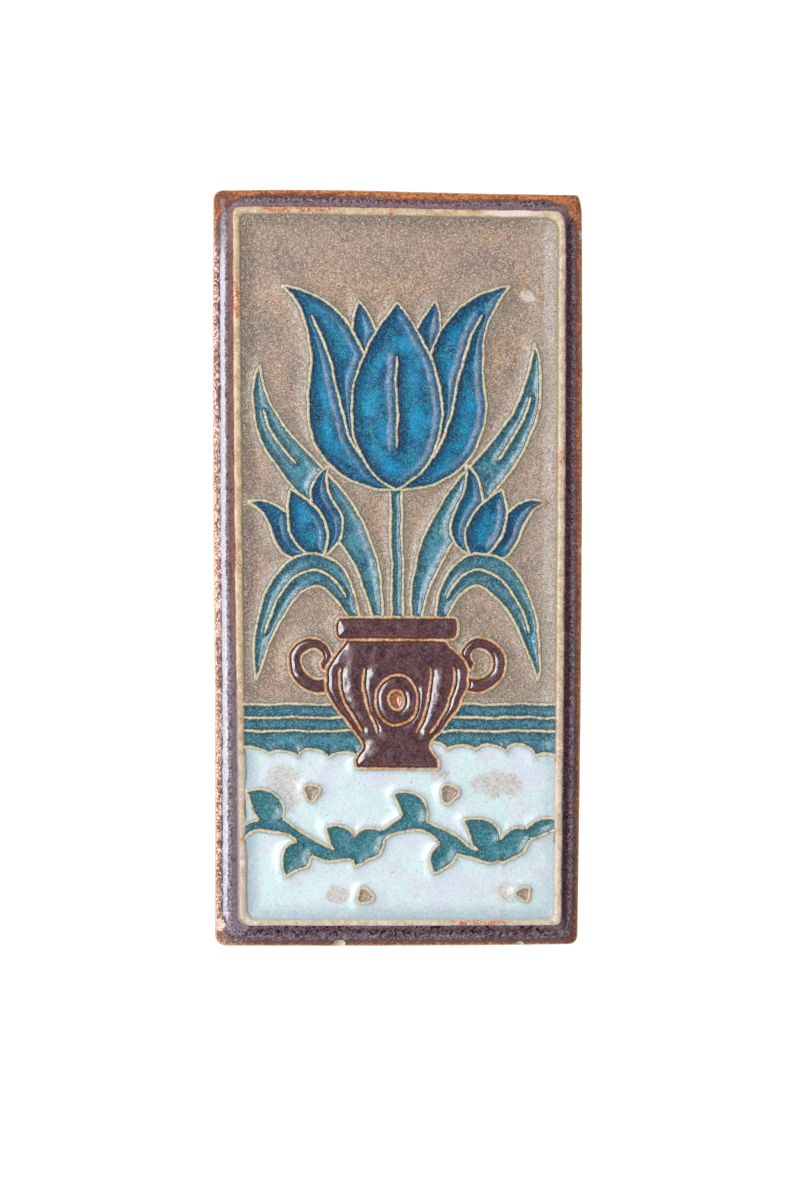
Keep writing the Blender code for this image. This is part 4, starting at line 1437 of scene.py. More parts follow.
@dataclass(frozen=True)
class Pour:
    """How a glaze lies between the raised lines.

    Attributes:
        reach: how far its surface slopes away from a line.
        swell: how deep its slow lumps are.
        ripple: how deep its small lumps are.
        sag: how much lower its middle lies than other glazes.
        climb: the share of its rise to the frame line that is a long, gentle slope.
        foot: how sharply the slope beside a line ends, or 0 for a slope that fades out.
        dome: whether it swells up between the lines instead of sagging.
    """

    reach: float
    swell: float
    ripple: float
    sag: float = 0.0
    climb: float = 0.82
    foot: float = 0.0
    dome: bool = False

    def rise(self, gap: np.ndarray, cling: float) -> np.ndarray:
        """How high it stands beside a line, as a share of the height at the line.

        Args:
            gap: distances from the line's side.
            cling: how far it clings steeply to the line.

        Returns:
            The shares.
        """
        if self.dome:
            return 0.25 + 0.5 * (1 - np.exp(-gap / self.reach)) + 0.45 * smooth_step(0.0, 4.5 * MM, gap)
        left = np.exp(-((gap / self.reach) ** 1.5))
        if self.foot:
            left = np.logaddexp(0.0, self.foot * (1 - gap / self.reach)) / np.logaddexp(0.0, self.foot)
        return 0.84 * left + 0.16 * np.exp(-gap / cling)


POURS = {
    Glaze.SKY: Pour(1.7 * MM, 0.06 * MM, 0.02 * MM),
    Glaze.BLUE: Pour(1.9 * MM, 0.10 * MM, 0.05 * MM, sag=0.25 * MM, foot=6.0),
    Glaze.TEAL: Pour(1.4 * MM, 0.05 * MM, 0.03 * MM),
    Glaze.BROWN: Pour(0.9 * MM, 0.06 * MM, 0.10 * MM, dome=True),
    Glaze.RUST: Pour(1.2 * MM, 0.03 * MM, 0.04 * MM),
    Glaze.WHITE: Pour(1.5 * MM, 0.14 * MM, 0.05 * MM, climb=0.5),
}


@dataclass
class GlazePools:
    """The pools of glaze between the raised lines, one piece for each glaze."""

    field_map: FieldMap
    levels: Levels
    step: float = 0.34 * MM
    grid_margin: float = 4 * MM
    edge_share: float = 0.88
    line_half: float = 0.6 * MM
    cling: float = 0.22 * MM
    lumps_by_line: tuple = (0.3 * MM, 2.2 * MM)
    lumps_by_rim: tuple = (-0.5 * MM, 2.0 * MM)

    def grid(self) -> bmesh.types.BMesh:
        """A fine level grid over the field."""
        form = self.field_map.form
        wide, tall = form.field_width + self.grid_margin, form.field_height + self.grid_margin
        columns, rows = round(wide / self.step), round(tall / self.step)
        bm = bmesh.new()
        bmesh.ops.create_grid(bm, x_segments=columns, y_segments=rows, size=0.5)
        bmesh.ops.scale(bm, vec=(wide, tall, 1.0), verts=bm.verts)
        return bm

    def surveyed(self, bm: bmesh.types.BMesh) -> list[str]:
        """Measures the field at every point of the grid and stores it there.

        Args:
            bm: the grid.

        Returns:
            The layers' names: two distances, slow and small lumps, and two kinds of marks.
        """
        flat = np.array([v.co[:2] for v in bm.verts])
        measures = {
            "shore": self.field_map.to_line(flat) + swells(flat, (1.6 * MM, 0.08 * MM, 3.0)),
            "rim": self.field_map.to_rim(flat) + swells(flat, (2.4 * MM, 0.22 * MM, 4.0)),
            "swell": swells(flat, (6.0 * MM, 1.0, 1.0)),
            "ripple": swells(flat, (2.2 * MM, 1.0, 2.0)),
            "scar": marked(flat, FIELD_MARKS),
            "patchy": marked(flat, GROUND_PATCHES),
        }
        for name, values in measures.items():
            layer = bm.verts.layers.float.new(name)
            for vert, value in zip(bm.verts, values):
                vert[layer] = value
        return list(measures)

    def heights(self, pour: Pour, shore: np.ndarray, rim: np.ndarray, lumps: np.ndarray) -> np.ndarray:
        """A glaze's height at each place.

        Args:
            pour: how the glaze lies.
            shore: how far each place is from the nearest raised line.
            rim: how far each place is from the frame line.
            lumps: how far its lumps stand out at each place.

        Returns:
            Heights over the back.
        """
        rise = pour.rise(np.maximum(shore - self.line_half, 0.0), self.cling)
        by_line = rise * (self.levels.shore - self.levels.floor) - (1 - rise) * pour.sag
        by_rim = self.levels.margin_rise(rim, pour.climb)
        both = by_line + by_rim - by_line * by_rim / self.levels.full_rise
        open_pool = smooth_step(*self.lumps_by_line, shore) * smooth_step(*self.lumps_by_rim, rim)
        return self.levels.floor + both + lumps * open_pool

    def pool(self, bm: bmesh.types.BMesh, glaze: Glaze, names: list[str]) -> None:
        """Makes one glaze's pools.

        Args:
            bm: the part of the grid where this glaze lies.
            glaze: the glaze.
            names: the layers' names.
        """
        layers = [bm.verts.layers.float[name] for name in names]
        shore, rim, swell, ripple = (np.array([v[layer] for v in bm.verts]) for layer in layers[:4])
        pour = POURS[glaze]
        lumps = swell * pour.swell + ripple * pour.ripple
        for vert, z in zip(bm.verts, self.heights(pour, shore, rim, lumps)):
            vert.co.z = z
        banks = [e for e in bm.edges if e.is_boundary]
        skirt = bmesh.ops.extrude_edge_only(bm, edges=banks)["geom"]
        for vert in (g for g in skirt if isinstance(g, bmesh.types.BMVert)):
            vert.co.z = self.levels.under
        bed = [g for g in skirt if isinstance(g, bmesh.types.BMEdge) and g.is_boundary]
        bmesh.ops.triangle_fill(bm, edges=bed, use_beauty=False)
        bmesh.ops.recalc_face_normals(bm, faces=bm.faces)
        for layer in layers[:2]:
            for vert in bm.verts:
                vert[layer] = vert[layer] / MM
        finish = next(f for f in POOL_FINISHES if f.glaze is glaze)
        mesh = mesh_from(bm, glaze.value)
        finished_piece(f"{glaze.name.lower()}_pools", mesh, finish.material())

    def build(self) -> None:
        """Makes the pools, one piece for each glaze."""
        whole = self.grid()
        names = self.surveyed(whole)
        middles = np.array([face.calc_center_median()[:2] for face in whole.faces])
        glazes = self.field_map.glazes(middles)
        glazes[~inside(middles, self.field_map.form.ring(self.edge_share))] = -1
        for number, glaze in enumerate(Glaze):
            bm = whole.copy()
            others = [f for f, away in zip(bm.faces, glazes != number) if away]
            bmesh.ops.delete(bm, geom=others, context="FACES")
            self.pool(bm, glaze, names)
        whole.free()


LINE_TINTS = {
    Glaze.SKY: ("#CBBB9A", "#8A7C66"),
    Glaze.BLUE: ("#CAC69C", "#16485A"),
    Glaze.TEAL: ("#CEC8A6", "#255A58"),
    Glaze.BROWN: ("#BE8048", "#6A3420"),
    Glaze.RUST: ("#B06F38", "#7A3A1C"),
    Glaze.WHITE: ("#D6BFA0", "#B4BDB8"),
}


@dataclass
class RaisedLines:
    """The raised clay lines, as rounded ridges with a hand-made waver.

    LINE_TINTS holds their crest's colour beside each glaze, and the glaze's where it laps on to their flanks.
    """

    field_map: FieldMap
    levels: Levels
    step: float = 0.42 * MM
    radius: float = 0.9 * MM
    taper: float = 1.6 * MM
    waver: float = 0.1 * MM
    margin_lift: float = 0.32
    own_reach: float = 0.9 * MM
    across_reach: float = 1.2 * MM
    brown_share: float = 0.65
    stagger: float = 0.006 * MM
    tip_width: float = 0.25
    merge_reach: float = 0.002 * MM
    lap_depth: float = 0.3 * MM

    def guide(self) -> bpy.types.Object:
        """One curve object that holds every line."""
        curve = bpy.data.curves.new("line_guide", "CURVE")
        curve.dimensions = "3D"
        curve.twist_mode = "Z_UP"
        curve.bevel_depth = self.radius
        curve.bevel_resolution = 2
        curve.use_fill_caps = True
        for number, line in enumerate(self.field_map.lines):
            points = resampled(line.points, self.step, line.closed)
            points = points[:-1] if line.closed else points
            along = np.arange(len(points)) * self.step
            width = 1 + swells(points, (2.6 * MM, 0.18, 11.0), (8.0 * MM, 0.22, 15.0))
            for end, free in zip((along, along[::-1]), line.free_ends):
                if free:
                    fullness = np.sqrt(smooth_step(-0.4 * MM, self.taper, end))
                    width = width * (self.tip_width + (1 - self.tip_width) * fullness)
            shift = xy(*(swells(points, (3.0 * MM, 1.0, seed)) for seed in (12.0, 13.0)))
            points = points + shift * self.waver
            lift = self.margin_lift * self.levels.margin_rise(self.field_map.to_rim(points))
            spline = curve.splines.new("POLY")
            spline.points.add(len(points) - 1)
            level = self.levels.ridge - self.radius - number % 5 * self.stagger
            for knot, (x, y), size, up in zip(spline.points, points, width, lift):
                knot.co = (x, y, level + up + (1 - size) * self.radius * 0.8, 1.0)
                knot.radius = size
            spline.use_cyclic_u = line.closed
        return linked(curve.name, curve)

    def tints_beside(self, places: Points) -> tuple[np.ndarray, np.ndarray]:
        """Colours for the crest and the flanks, from the glazes beside each place.

        Args:
            places: the ridges' points.

        Returns:
            The crest's colours and the flanks' colours.
        """
        crests, flanks = (np.array([srgb(LINE_TINTS[glaze][k]) for glaze in Glaze]) for k in (0, 1))
        flat = places[:, :2]
        nearest = np.array([self.field_map.line_tree.find((x, y, 0.0))[0][:2] for x, y in flat])
        out = flat - nearest
        length = np.linalg.norm(out, axis=1)[:, None]
        out = np.where(length > 0.02 * MM, out / np.maximum(length, 1e-9), 0.0)
        own = self.field_map.glazes(flat + out * self.own_reach)
        across = self.field_map.glazes(nearest - out * self.across_reach)
        brown = list(Glaze).index(Glaze.BROWN)
        crest = 0.5 * crests[own] + 0.5 * crests[across]
        warm = ((own == brown) | (across == brown))[:, None]
        mixed = (1 - self.brown_share) * crest + self.brown_share * crests[brown]
        return np.where(warm, mixed, crest), flanks[own]

    def build(self) -> None:
        """Makes the ridges."""
        bm = opened(self.guide())
        bmesh.ops.remove_doubles(bm, verts=bm.verts, dist=self.merge_reach)
        bmesh.ops.recalc_face_normals(bm, faces=bm.faces)
        mesh = mesh_from(bm, "raised_lines")
        places = places_of(mesh)
        rim_rise = self.levels.margin_rise(self.field_map.to_rim(places))
        below = self.levels.ridge + self.margin_lift * rim_rise - places[:, 2]
        places[:, 2] += swells(places, (1.1 * MM, 0.04 * MM, 14.0))
        move(mesh, places)
        crest, flank = self.tints_beside(places)
        store(mesh, lap=np.clip(below / self.lap_depth, 0.0, 1.5), crest_tint=crest, flank_tint=flank)
        finished_piece("raised_lines", mesh, ClayLineFinish().material())


@dataclass
class FrameLine:
    """The raised cream line between the border and the field.

    Attributes:
        form, field_map, levels: the tile's outline, its field and the shared heights.
        inner_shares: how far in its inner edge lies on each side, as a share.
        middle_share: how far in its middle lies, as a share.
        section: its section, as shares of its width and heights in mm.
        sink: how much lower it lies than that.
        outer_part: the share of its width that slopes to the border.
        reach_in: how much smaller the picture is made to find the glaze beside it.
        low_left: the zone where the border's painted sheen laps on to it.
        creamy: the zone on the right where it pales.
        dark_from: where on the right its outer flank is painted darker, as shade on the side away from the
            main light.
        scar_drop, scar_fill: how far down its outer flank the scars go, in mm, and how much they fill there.
        lap_drop: how far under its crest the border's glaze laps on to it, in mm.
    """

    form: TileForm
    field_map: FieldMap
    levels: Levels
    inner_shares: PerSide = PerSide(1.06, 1.09, 1.09, 1.08)
    middle_share: float = 0.83
    section: tuple = (
        (-0.03, -1.5),
        (0.02, -0.95),
        (0.07, -0.62),
        (0.14, -0.35),
        (0.23, -0.15),
        (0.34, -0.04),
        (0.46, 0.0),
        (0.57, -0.06),
        (0.68, -0.19),
        (0.78, -0.38),
        (0.87, -0.66),
        (0.95, -1.15),
        (1.0, -1.8),
        (0.5, -2.4),
    )
    sink: float = 0.08 * MM
    outer_part: float = 0.4
    reach_in: float = 0.96
    low_left: tuple[Fade, ...] = (Fade(Axis.X, -40, -44), Fade(Axis.Y, -20, -45))
    creamy: Fade = Fade(Axis.X, 30, 46)
    dark_from: float = 44 * MM
    scar_drop: float = 1.4
    scar_fill: float = 0.75
    lap_drop: float = 0.55

    def rings(self) -> list[Points]:
        """The line's rings, wavering a little in place, width and height."""
        base = self.form.ring(self.middle_share)
        swing = swells(base, (9.0 * MM, 0.04, 21.0), (2.6 * MM, 0.03, 22.0))
        spread = 1 + swells(base, (3.4 * MM, 0.12, 25.0))
        rise = swells(base, (4.0 * MM, 0.05 * MM, 23.0), (1.5 * MM, 0.03 * MM, 26.0))
        start = self.form.line_start()
        width = self.form.by_side(self.inner_shares) - start
        rings = []
        for across, drop in self.section:
            moved = 0.5 + (across - 0.5) * spread + swing
            height = self.levels.top + drop * MM - self.sink + (rise if drop > -1 else 0.0)
            rings.append(raised(self.form.across(start + moved * width), height))
        return rings

    def build(self) -> None:
        """Makes the frame line."""
        mesh = mesh_from(lofted(self.rings(), closed=True), "frame_line")
        places = places_of(mesh)
        base = self.form.ring(self.middle_share)
        drops = np.repeat([-drop for _, drop in self.section], len(base))
        outside = np.repeat([across < self.outer_part for across, _ in self.section], len(base))
        scar = marked(places, FRAME_MARKS)
        filled = outside & (drops < self.scar_drop)
        places[:, 2] += np.where(filled, drops * self.scar_fill * MM * np.clip(scar, 0, 1), 0.0)
        move(mesh, places)
        sheen_zone = within(places, *self.low_left) * outside
        beside = self.field_map.glazes(places[:, :2] * self.reach_in)
        white = beside == list(Glaze).index(Glaze.WHITE)
        flank = np.tile(srgb("#9C8A70"), (len(places), 1))
        for code, share in (
            ("#763C2C", outside),
            # Painted shade: the outer flank darker on the right, the side away from the main light.
            ("#5A2018", outside & (places[:, 0] > self.dark_from)),
            ("#BFB8AE", white & ~outside),
            # Painted sheen: on the lower left the border's painted sheen laps on to the outer flank.
            ("#94807E", sheen_zone),
        ):
            flank = leant(flank, code, share)
        store(
            mesh,
            rusty=np.tile(marked(base, FRAME_RUST), len(self.section)),
            cream=np.where(white, 1.0, 0.35 * self.creamy.at(places)),
            # In the painted sheen zone that flank colour climbs higher.
            lap=np.clip(drops / self.lap_drop + 0.55 * sheen_zone, 0.0, 1.5),
            scar=scar,
            flank_tint=flank,
        )
        finished_piece("frame_line", mesh, FrameLineFinish().material())


@dataclass
class GlazedBorder:
    """The rounded glazed border, from its ragged lower edge on the sides to the foot of the frame line.

    Attributes:
        form, levels: the tile's outline and the shared heights.
        rust_widths, rust_tints: how wide the rusty edge is on each side, in mm, and its colours, partly
            painted light: pinker on the left, which faces the main light, and darkest on the bottom.
        corner_rust, corner_depths: how much wider and how much darker it is at each corner.
        corner_reach, corner_tint: how far round a corner that goes, and its colour.
        wider, narrower: the zones where the rusty edge is wider or narrower.
        milk, milk_places, milk_spreads: how milky each side's crest is, where and how far across; partly the
            glaze's own bloom and partly painted sheen, strongest on the top and left.
        sheen_zone: the lower left zone, where a painted sheen of the main light's reflection adds milky
            colour towards the foot.
        facing: the zone that faces the main light.
        dull_zone: the zone with little gloss.
        grit, spots: how grainy and how spotty each side is.
        foot_starts, foot_tints, sheen_foot_tint: where each side's foot starts; its colours, partly pooled
            glaze and partly painted shade, darkest on the right; and its colour under the painted sheen of
            the lower left.
        crest_share, crest_drop: where the crest lies, as a share of the way in and under the top.
        round_depth, round_steps: how deep the rounded edge goes, and in how many steps.
        side_drop: how far under it the first ring of the section lies.
        lower_edge, run_length: the glaze's lower edge on the sides, and how ragged it is.
        lip: the edge's turned-in rings, as shares of the way in and heights in mm.
        lip_free: how uneven each of them may be.
        inner_fall, underside: the section's inner slope and hidden side, as shares and heights in mm.
        widest: the widest that the border counts as for its rust, in mm.
        rust_fade, worn_lit_width: how sharply the rust ends, and how wide the lighter edge is, in mm: glaze
            worn thin there, brightened further as painted rim light.
        sheen_place, sheen_spread: where that painted sheen lies and how far across it goes.
        foot_fade: over how much of the way the dark foot begins.
    """

    form: TileForm
    levels: Levels
    rust_widths: PerSide = PerSide(1.75, 2.1, 2.4, 1.8)
    # Each side's rust colour is partly painted light: pinker on the lit left, darkest on the bottom.
    rust_tints: tuple = ("#983408", "#D4743E", "#D67A3A", "#C07258")
    corner_rust: tuple = (0.8, 1.0, 2.4, 3.4)
    corner_depths: tuple = (0.6, 0.8, 0.35, 0.75)
    corner_reach: float = 6 * MM
    corner_tint: str = "#5E2418"
    wider: tuple[Fade, ...] = (Fade(Axis.Y, 97, 103), Fade(Axis.X, -20, 15))
    narrower: tuple[Fade, ...] = (Fade(Axis.X, 44, 50), Fade(Axis.Y, 10, -30))
    milk: PerSide = PerSide(0.6, 0.5, 0.9, 0.8)
    milk_places: PerSide = PerSide(0.56, 0.57, 0.76, 0.7)
    milk_spreads: PerSide = PerSide(0.23, 0.15, 0.32, 0.13)
    sheen_zone: tuple[Fade, ...] = (Fade(Axis.X, -40, -44), Fade(Axis.Y, 0, -35))
    facing: tuple[Fade, ...] = (Fade(Axis.X, -40, -50), Fade(Axis.Y, 100, 86))
    dull_zone: tuple[Fade, ...] = (Fade(Axis.X, -40, -50), Fade(Axis.Y, 84, 98))
    grit: PerSide = PerSide(1.15, 0.95, 0.6, 1.0)
    spots: PerSide = PerSide(1.0, 0.4, 0.0, 0.0)
    foot_starts: PerSide = PerSide(0.8, 0.7, 0.78, 0.8)
    foot_tints: tuple = ("#6C5A62", "#32161E", "#83686E", "#96665A")
    sheen_foot_tint: str = "#80707A"
    crest_share: float = 0.88
    crest_drop: float = 0.2 * MM
    round_depth: float = 2.9 * MM
    round_steps: int = 18
    side_drop: float = 0.7 * MM
    lower_edge: float = 11.2 * MM
    run_length: float = 1.6 * MM
    lip: tuple = ((0.03, 0.1), (0.004, 0.0), (0.0, 0.25))
    lip_free: tuple = (0.0, 0.3, 1.0)
    inner_fall: tuple = (
        (0.95, -0.2),
        (1.05, -0.21),
        (1.085, -0.22),
        (1.095, -0.24),
        (1.1, -0.34),
        (1.12, -0.8),
        (1.18, -1.5),
        (1.22, -2.0),
    )
    underside: tuple = ((0.9, -2.5), (0.45, -2.4), (0.17, -3.4), (0.07, -5.0))
    widest: float = 6.5
    rust_fade: float = 0.35
    worn_lit_width: float = 1.1
    sheen_place: float = 0.75
    sheen_spread: float = 0.16
    foot_fade: float = 0.16

    def under_top(self, section: tuple) -> list[tuple[float, float]]:
        """A section with its heights over the back instead of from the top."""
        return [(share, self.levels.top + drop * MM) for share, drop in section]

    def section(self) -> list[tuple[float, float]]:
        """The glaze's upper side from the edge inwards: shares of the way to the frame line, and heights."""
        turns = np.linspace(0, math.pi / 2, self.round_steps)
        crest = self.levels.top - self.crest_drop
        shares = self.crest_share * (1 - np.cos(turns))
        heights = crest - self.round_depth * (1 - np.sin(turns))
        foot = (0.0, crest - self.round_depth - self.side_drop)
        return [foot, *zip(shares, heights), *self.under_top(self.inner_fall)]

    def rings(self) -> tuple[list[Points], np.ndarray, np.ndarray]:
        """The border's rings.

        Returns:
            The rings, and for each point its share of the way to the frame line and how uneven it may be.
        """
        outline = self.form.ring(0.0)
        ragged = swells(outline, (9 * MM, 1.0, 31.0), (2.5 * MM, 0.5, 32.0))
        low = self.lower_edge + ragged * self.run_length
        draft = self.form.draft * (1 - low / self.form.draft_height).clip(0, 1)
        step = (self.form.ring(0.1) - outline) * 10
        foot = outline + step * draft[:, None]
        start = self.form.line_start()
        section, hidden = self.section(), self.under_top(self.underside)
        rings = [raised(foot + step * share, low + height * MM) for share, height in self.lip]
        rings += [raised(self.form.across(share * start), height) for share, height in section + hidden]
        shares = [0.0] * len(self.lip) + [share for share, _ in section + hidden]
        free = [*self.lip_free] + [1.0] * len(section) + [0.0] * len(hidden)
        return rings, np.repeat(shares, len(outline)), np.repeat(free, len(outline))

    def uneven(self, places: Points, free: np.ndarray) -> Points:
        """Gives the glaze slow swells and small lumps, always inwards from the mould's form.

        Args:
            places: the border's points.
            free: how much each point may move.

        Returns:
            The moved points.
        """
        depth = (0.1 * MM + swells(places, (6 * MM, 0.065 * MM, 34.0), (1.6 * MM, 0.035 * MM, 35.0))) * free
        middle = self.form.ring(0.5)
        inward = np.tile(middle, (len(places) // len(middle), 1)) - places[:, :2]
        inward /= np.maximum(np.linalg.norm(inward, axis=1), 1 * MM)[:, None]
        side = smooth_step(-1.0 * MM, -3.0 * MM, places[:, 2] - self.levels.top)
        return places + np.column_stack([inward * (depth * side)[:, None], -depth * (1 - side)])

    def tints(self, codes: tuple) -> np.ndarray:
        """The sides' colours, one for each point of a ring."""
        channels = zip(*(srgb(code) for code in codes))
        return np.column_stack([self.form.by_side(PerSide(*channel)) for channel in channels])

    def dress(self, mesh: bpy.types.Mesh, places: Points, shares: np.ndarray) -> None:
        """Stores where the rust, the worn edge with its painted rim light, the milky crest with its painted
        sheen, the dark foot with its painted shade and the lit side are.

        Args:
            mesh: the border's mesh.
            places: its points.
            shares: each point's share of the way to the frame line.
        """
        outline = self.form.ring(0.0)

        def on_all(each: Union[PerSide, np.ndarray]) -> np.ndarray:
            """What is given for each side, or for each point of a ring, for every point."""
            one_ring = self.form.by_side(each) if isinstance(each, PerSide) else each
            return np.concatenate([one_ring] * (len(shares) // len(outline)))

        width = np.linalg.norm(self.form.across(self.form.line_start()) - outline, axis=1) / MM
        across = shares * on_all(np.minimum(width, self.widest))
        rust = self.form.by_side(self.rust_widths) + swells(outline, (7 * MM, 0.35, 33.0))
        rust += 0.6 * within(outline, *self.wider) - 0.4 * within(outline, *self.narrower)
        corner = np.zeros(len(outline))
        for place, more, deep in zip(self.form.corners(0.0), self.corner_rust, self.corner_depths):
            near = hump(np.linalg.norm(outline - place, axis=1), 0.0, self.corner_reach)
            rust += more * near
            corner += deep * near
        upper = smooth_step(-5.0 * MM, -2.6 * MM, places[:, 2] - self.levels.top)
        crest = hump(shares, on_all(self.milk_places), on_all(self.milk_spreads))
        sheen_zone, facing = within(places, *self.sheen_zone), within(places, *self.facing)
        store(
            mesh,
            rust=np.clip(0.5 + (on_all(rust) - across) * self.rust_fade, -0.5, 1.5),
            edge=np.clip(1.0 - across / self.worn_lit_width, 0.0, 1.0) * upper,
            # Milky crest, partly painted sheen, with the painted sheen of the lower left added.
            milk=on_all(self.milk) * crest + 0.8 * sheen_zone * hump(shares, self.sheen_place, self.sheen_spread),
            spotty=on_all(self.spots),
            foot=smooth_step(0.0, self.foot_fade, shares - on_all(self.foot_starts)),
            # Where the main light falls: the place for painted glints and painted tints of the highlight.
            blush=facing * upper * (1 - on_all(corner.clip(0.0, 1.0))),
            dull=np.maximum(within(places, *self.dull_zone), on_all(corner)),
            corner=on_all(corner),
            grit=on_all(self.grit) * (1 - 0.6 * facing),
            # Under the lower left's painted sheen the foot turns greyish lavender.
            foot_tint=leant(on_all(self.tints(self.foot_tints)), self.sheen_foot_tint, sheen_zone),
            rust_tint=leant(on_all(self.tints(self.rust_tints)), self.corner_tint, on_all(corner)),
        )

    def build(self) -> None:
        """Makes the border."""
        rings, shares, free = self.rings()
        mesh = mesh_from(lofted(rings, closed=True), "glazed_border")
        places, chip = chipped(self.uneven(places_of(mesh), free))
        move(mesh, places)
        self.dress(mesh, places, shares)
        store(mesh, chip=chip)
        finished_piece("glazed_border", mesh, BorderFinish().material())


@dataclass
class ClayBody:
    """The fired clay slab under the glazes, with drafted sides and keying pockets in its back."""

    form: TileForm
    levels: Levels
    skin: float = 0.02
    voxel: float = 0.8 * MM
    pocket_columns: int = 3
    pocket_rows: int = 6
    pocket_depth: float = 1.6 * MM
    pocket_rib: float = 4.5 * MM
    back_margin: float = 9.0 * MM
    pocket_draft: float = 0.8 * MM
    back_normal: float = -0.9

    def slab(self) -> bmesh.types.BMesh:
        """The plain slab, a hair inside the glaze."""
        top = self.levels.top
        section = (
            (self.form.draft + self.skin, 0.0),
            (self.skin, self.form.draft_height),
            (0.05 + self.skin, top - 3.2 * MM),
            (0.2, top - 1.9 * MM),
            (0.55, top - 1.7 * MM),
            (0.9, top - 2.45 * MM),
        )
        coarse = TileForm(spacing=4.0 * MM, corner_points=8)
        return lofted([raised(coarse.ring(share), height) for share, height in section], closed=False)

    def pocket_places(self, count: int, whole: float) -> tuple[float, list[float]]:
        """One pocket's width along an axis, and the middles of all."""
        wide = (whole - 2 * self.back_margin - (count - 1) * self.pocket_rib) / count
        return wide, [(k - (count - 1) / 2) * (wide + self.pocket_rib) for k in range(count)]

    def press_pockets(self, bm: bmesh.types.BMesh) -> None:
        """Presses the pockets into the slab's back."""
        wide, columns = self.pocket_places(self.pocket_columns, self.form.width)
        tall, rows = self.pocket_places(self.pocket_rows, self.form.height)
        cuts = [((x + s * wide / 2, 0, 0), (1, 0, 0)) for x in columns for s in (-1, 1)]
        cuts += [((0, y + s * tall / 2, 0), (0, 1, 0)) for y in rows for s in (-1, 1)]
        for place, normal in cuts:
            back = [f for f in bm.faces if f.normal.z < self.back_normal]
            around = {e for f in back for e in f.edges} | {v for f in back for v in f.verts} | set(back)
            bmesh.ops.bisect_plane(bm, geom=list(around), plane_co=place, plane_no=normal, dist=1e-7)
            bm.normal_update()
        shrink = (1 - 2 * self.pocket_draft / wide, 1 - 2 * self.pocket_draft / tall, 1.0)
        for x, y in ((x, y) for x in columns for y in rows):
            middles = {f: f.calc_center_median() for f in bm.faces if f.normal.z < self.back_normal}
            floor = [f for f, m in middles.items() if abs(m.x - x) < wide / 2 and abs(m.y - y) < tall / 2]
            pressed = bmesh.ops.extrude_face_region(bm, geom=floor)["geom"]
            bmesh.ops.delete(bm, geom=floor, context="FACES")
            verts = [g for g in pressed if isinstance(g, bmesh.types.BMVert)]
            bmesh.ops.translate(bm, vec=(-x, -y, self.pocket_depth), verts=verts)
            bmesh.ops.scale(bm, vec=shrink, verts=verts)
            bmesh.ops.translate(bm, vec=(x, y, 0.0), verts=verts)
        bmesh.ops.recalc_face_normals(bm, faces=bm.faces)

    def fine_mesh(self, bm: bmesh.types.BMesh) -> bpy.types.Mesh:
        """The slab with small, even faces and slightly softened edges."""
        coarse = linked("coarse_clay", mesh_from(bm, "coarse_clay"))
        fine = coarse.modifiers.new("fine", "REMESH")
        fine.mode = "VOXEL"
        fine.voxel_size = self.voxel
        bm = opened(coarse)
        bmesh.ops.smooth_vert(
            bm, verts=bm.verts, factor=0.5, use_axis_x=True, use_axis_y=True, use_axis_z=True
        )
        bmesh.ops.recalc_face_normals(bm, faces=bm.faces)
        return mesh_from(bm, "clay_body")

    def build(self) -> None:
        """Makes the clay body."""
        bm = self.slab()
        self.press_pockets(bm)
        mesh = self.fine_mesh(bm)
        places, chip = chipped(places_of(mesh))
        rough = swells(places, (7 * MM, 0.07 * MM, 41.0), (1.8 * MM, 0.05 * MM, 42.0))
        places[:, 2] = np.maximum(places[:, 2] + rough, 0.0)
        move(mesh, places)
        stain = Fade(Axis.Z, 5, 12).at(places) * (1 - chip)
        # sunk marks the floors of the back's pockets, for their painted shade.
        in_back = inside(places, self.form.ring(0.3)) & (places[:, 2] < 3 * MM)
        store(mesh, stain=stain, sunk=Fade(Axis.Z, 0.2, 1.4).at(places) * in_back, chip=chip)
        finished_piece("clay_body", mesh, BareClayFinish().material())


@dataclass(frozen=True)
class SoftBox:
    """A large soft light that faces the tile.

    Attributes:
        name: its name.
        turn: how far it stands to the right of the camera's line, in degrees.
        rise: how far it stands over the tile, in degrees.
        reach: its distance from the tile.
        size: its width and height.
        glow: how bright its surface is.
        colour: its colour.
    """

    name: str
    turn: float
    rise: float
    reach: float
    size: tuple[float, float]
    glow: float
    colour: Colour = (0.98, 0.98, 1.0)

    def build(self) -> None:
        """Adds the light."""
        light = bpy.data.lights.new(self.name, "AREA")
        light.shape = "RECTANGLE"
        light.size, light.size_y = self.size
        light.energy = self.glow * math.pi * self.size[0] * self.size[1]
        light.color = self.colour
        turn, rise = math.radians(self.turn), math.radians(self.rise)
        place = Vector((math.sin(turn) * math.cos(rise), -math.cos(turn) * math.cos(rise), math.sin(rise)))
        lamp = linked(self.name, light)
        lamp.location = place * self.reach
        lamp.rotation_euler = (-place).to_track_quat("-Z", "Y").to_euler()


SOFT_BOXES = (
    SoftBox("halo", -17, 8, 1.2, (0.4, 0.9), 0.7),
    SoftBox("key", -33, 10, 1.15, (0.44, 0.95), 9.4),
    SoftBox("side", 42, 8, 1.2, (0.45, 0.8), 0.55),
    SoftBox("spark", 24, 34, 1.1, (0.07, 0.07), 40.0, (1.0, 1.0, 1.0)),
)


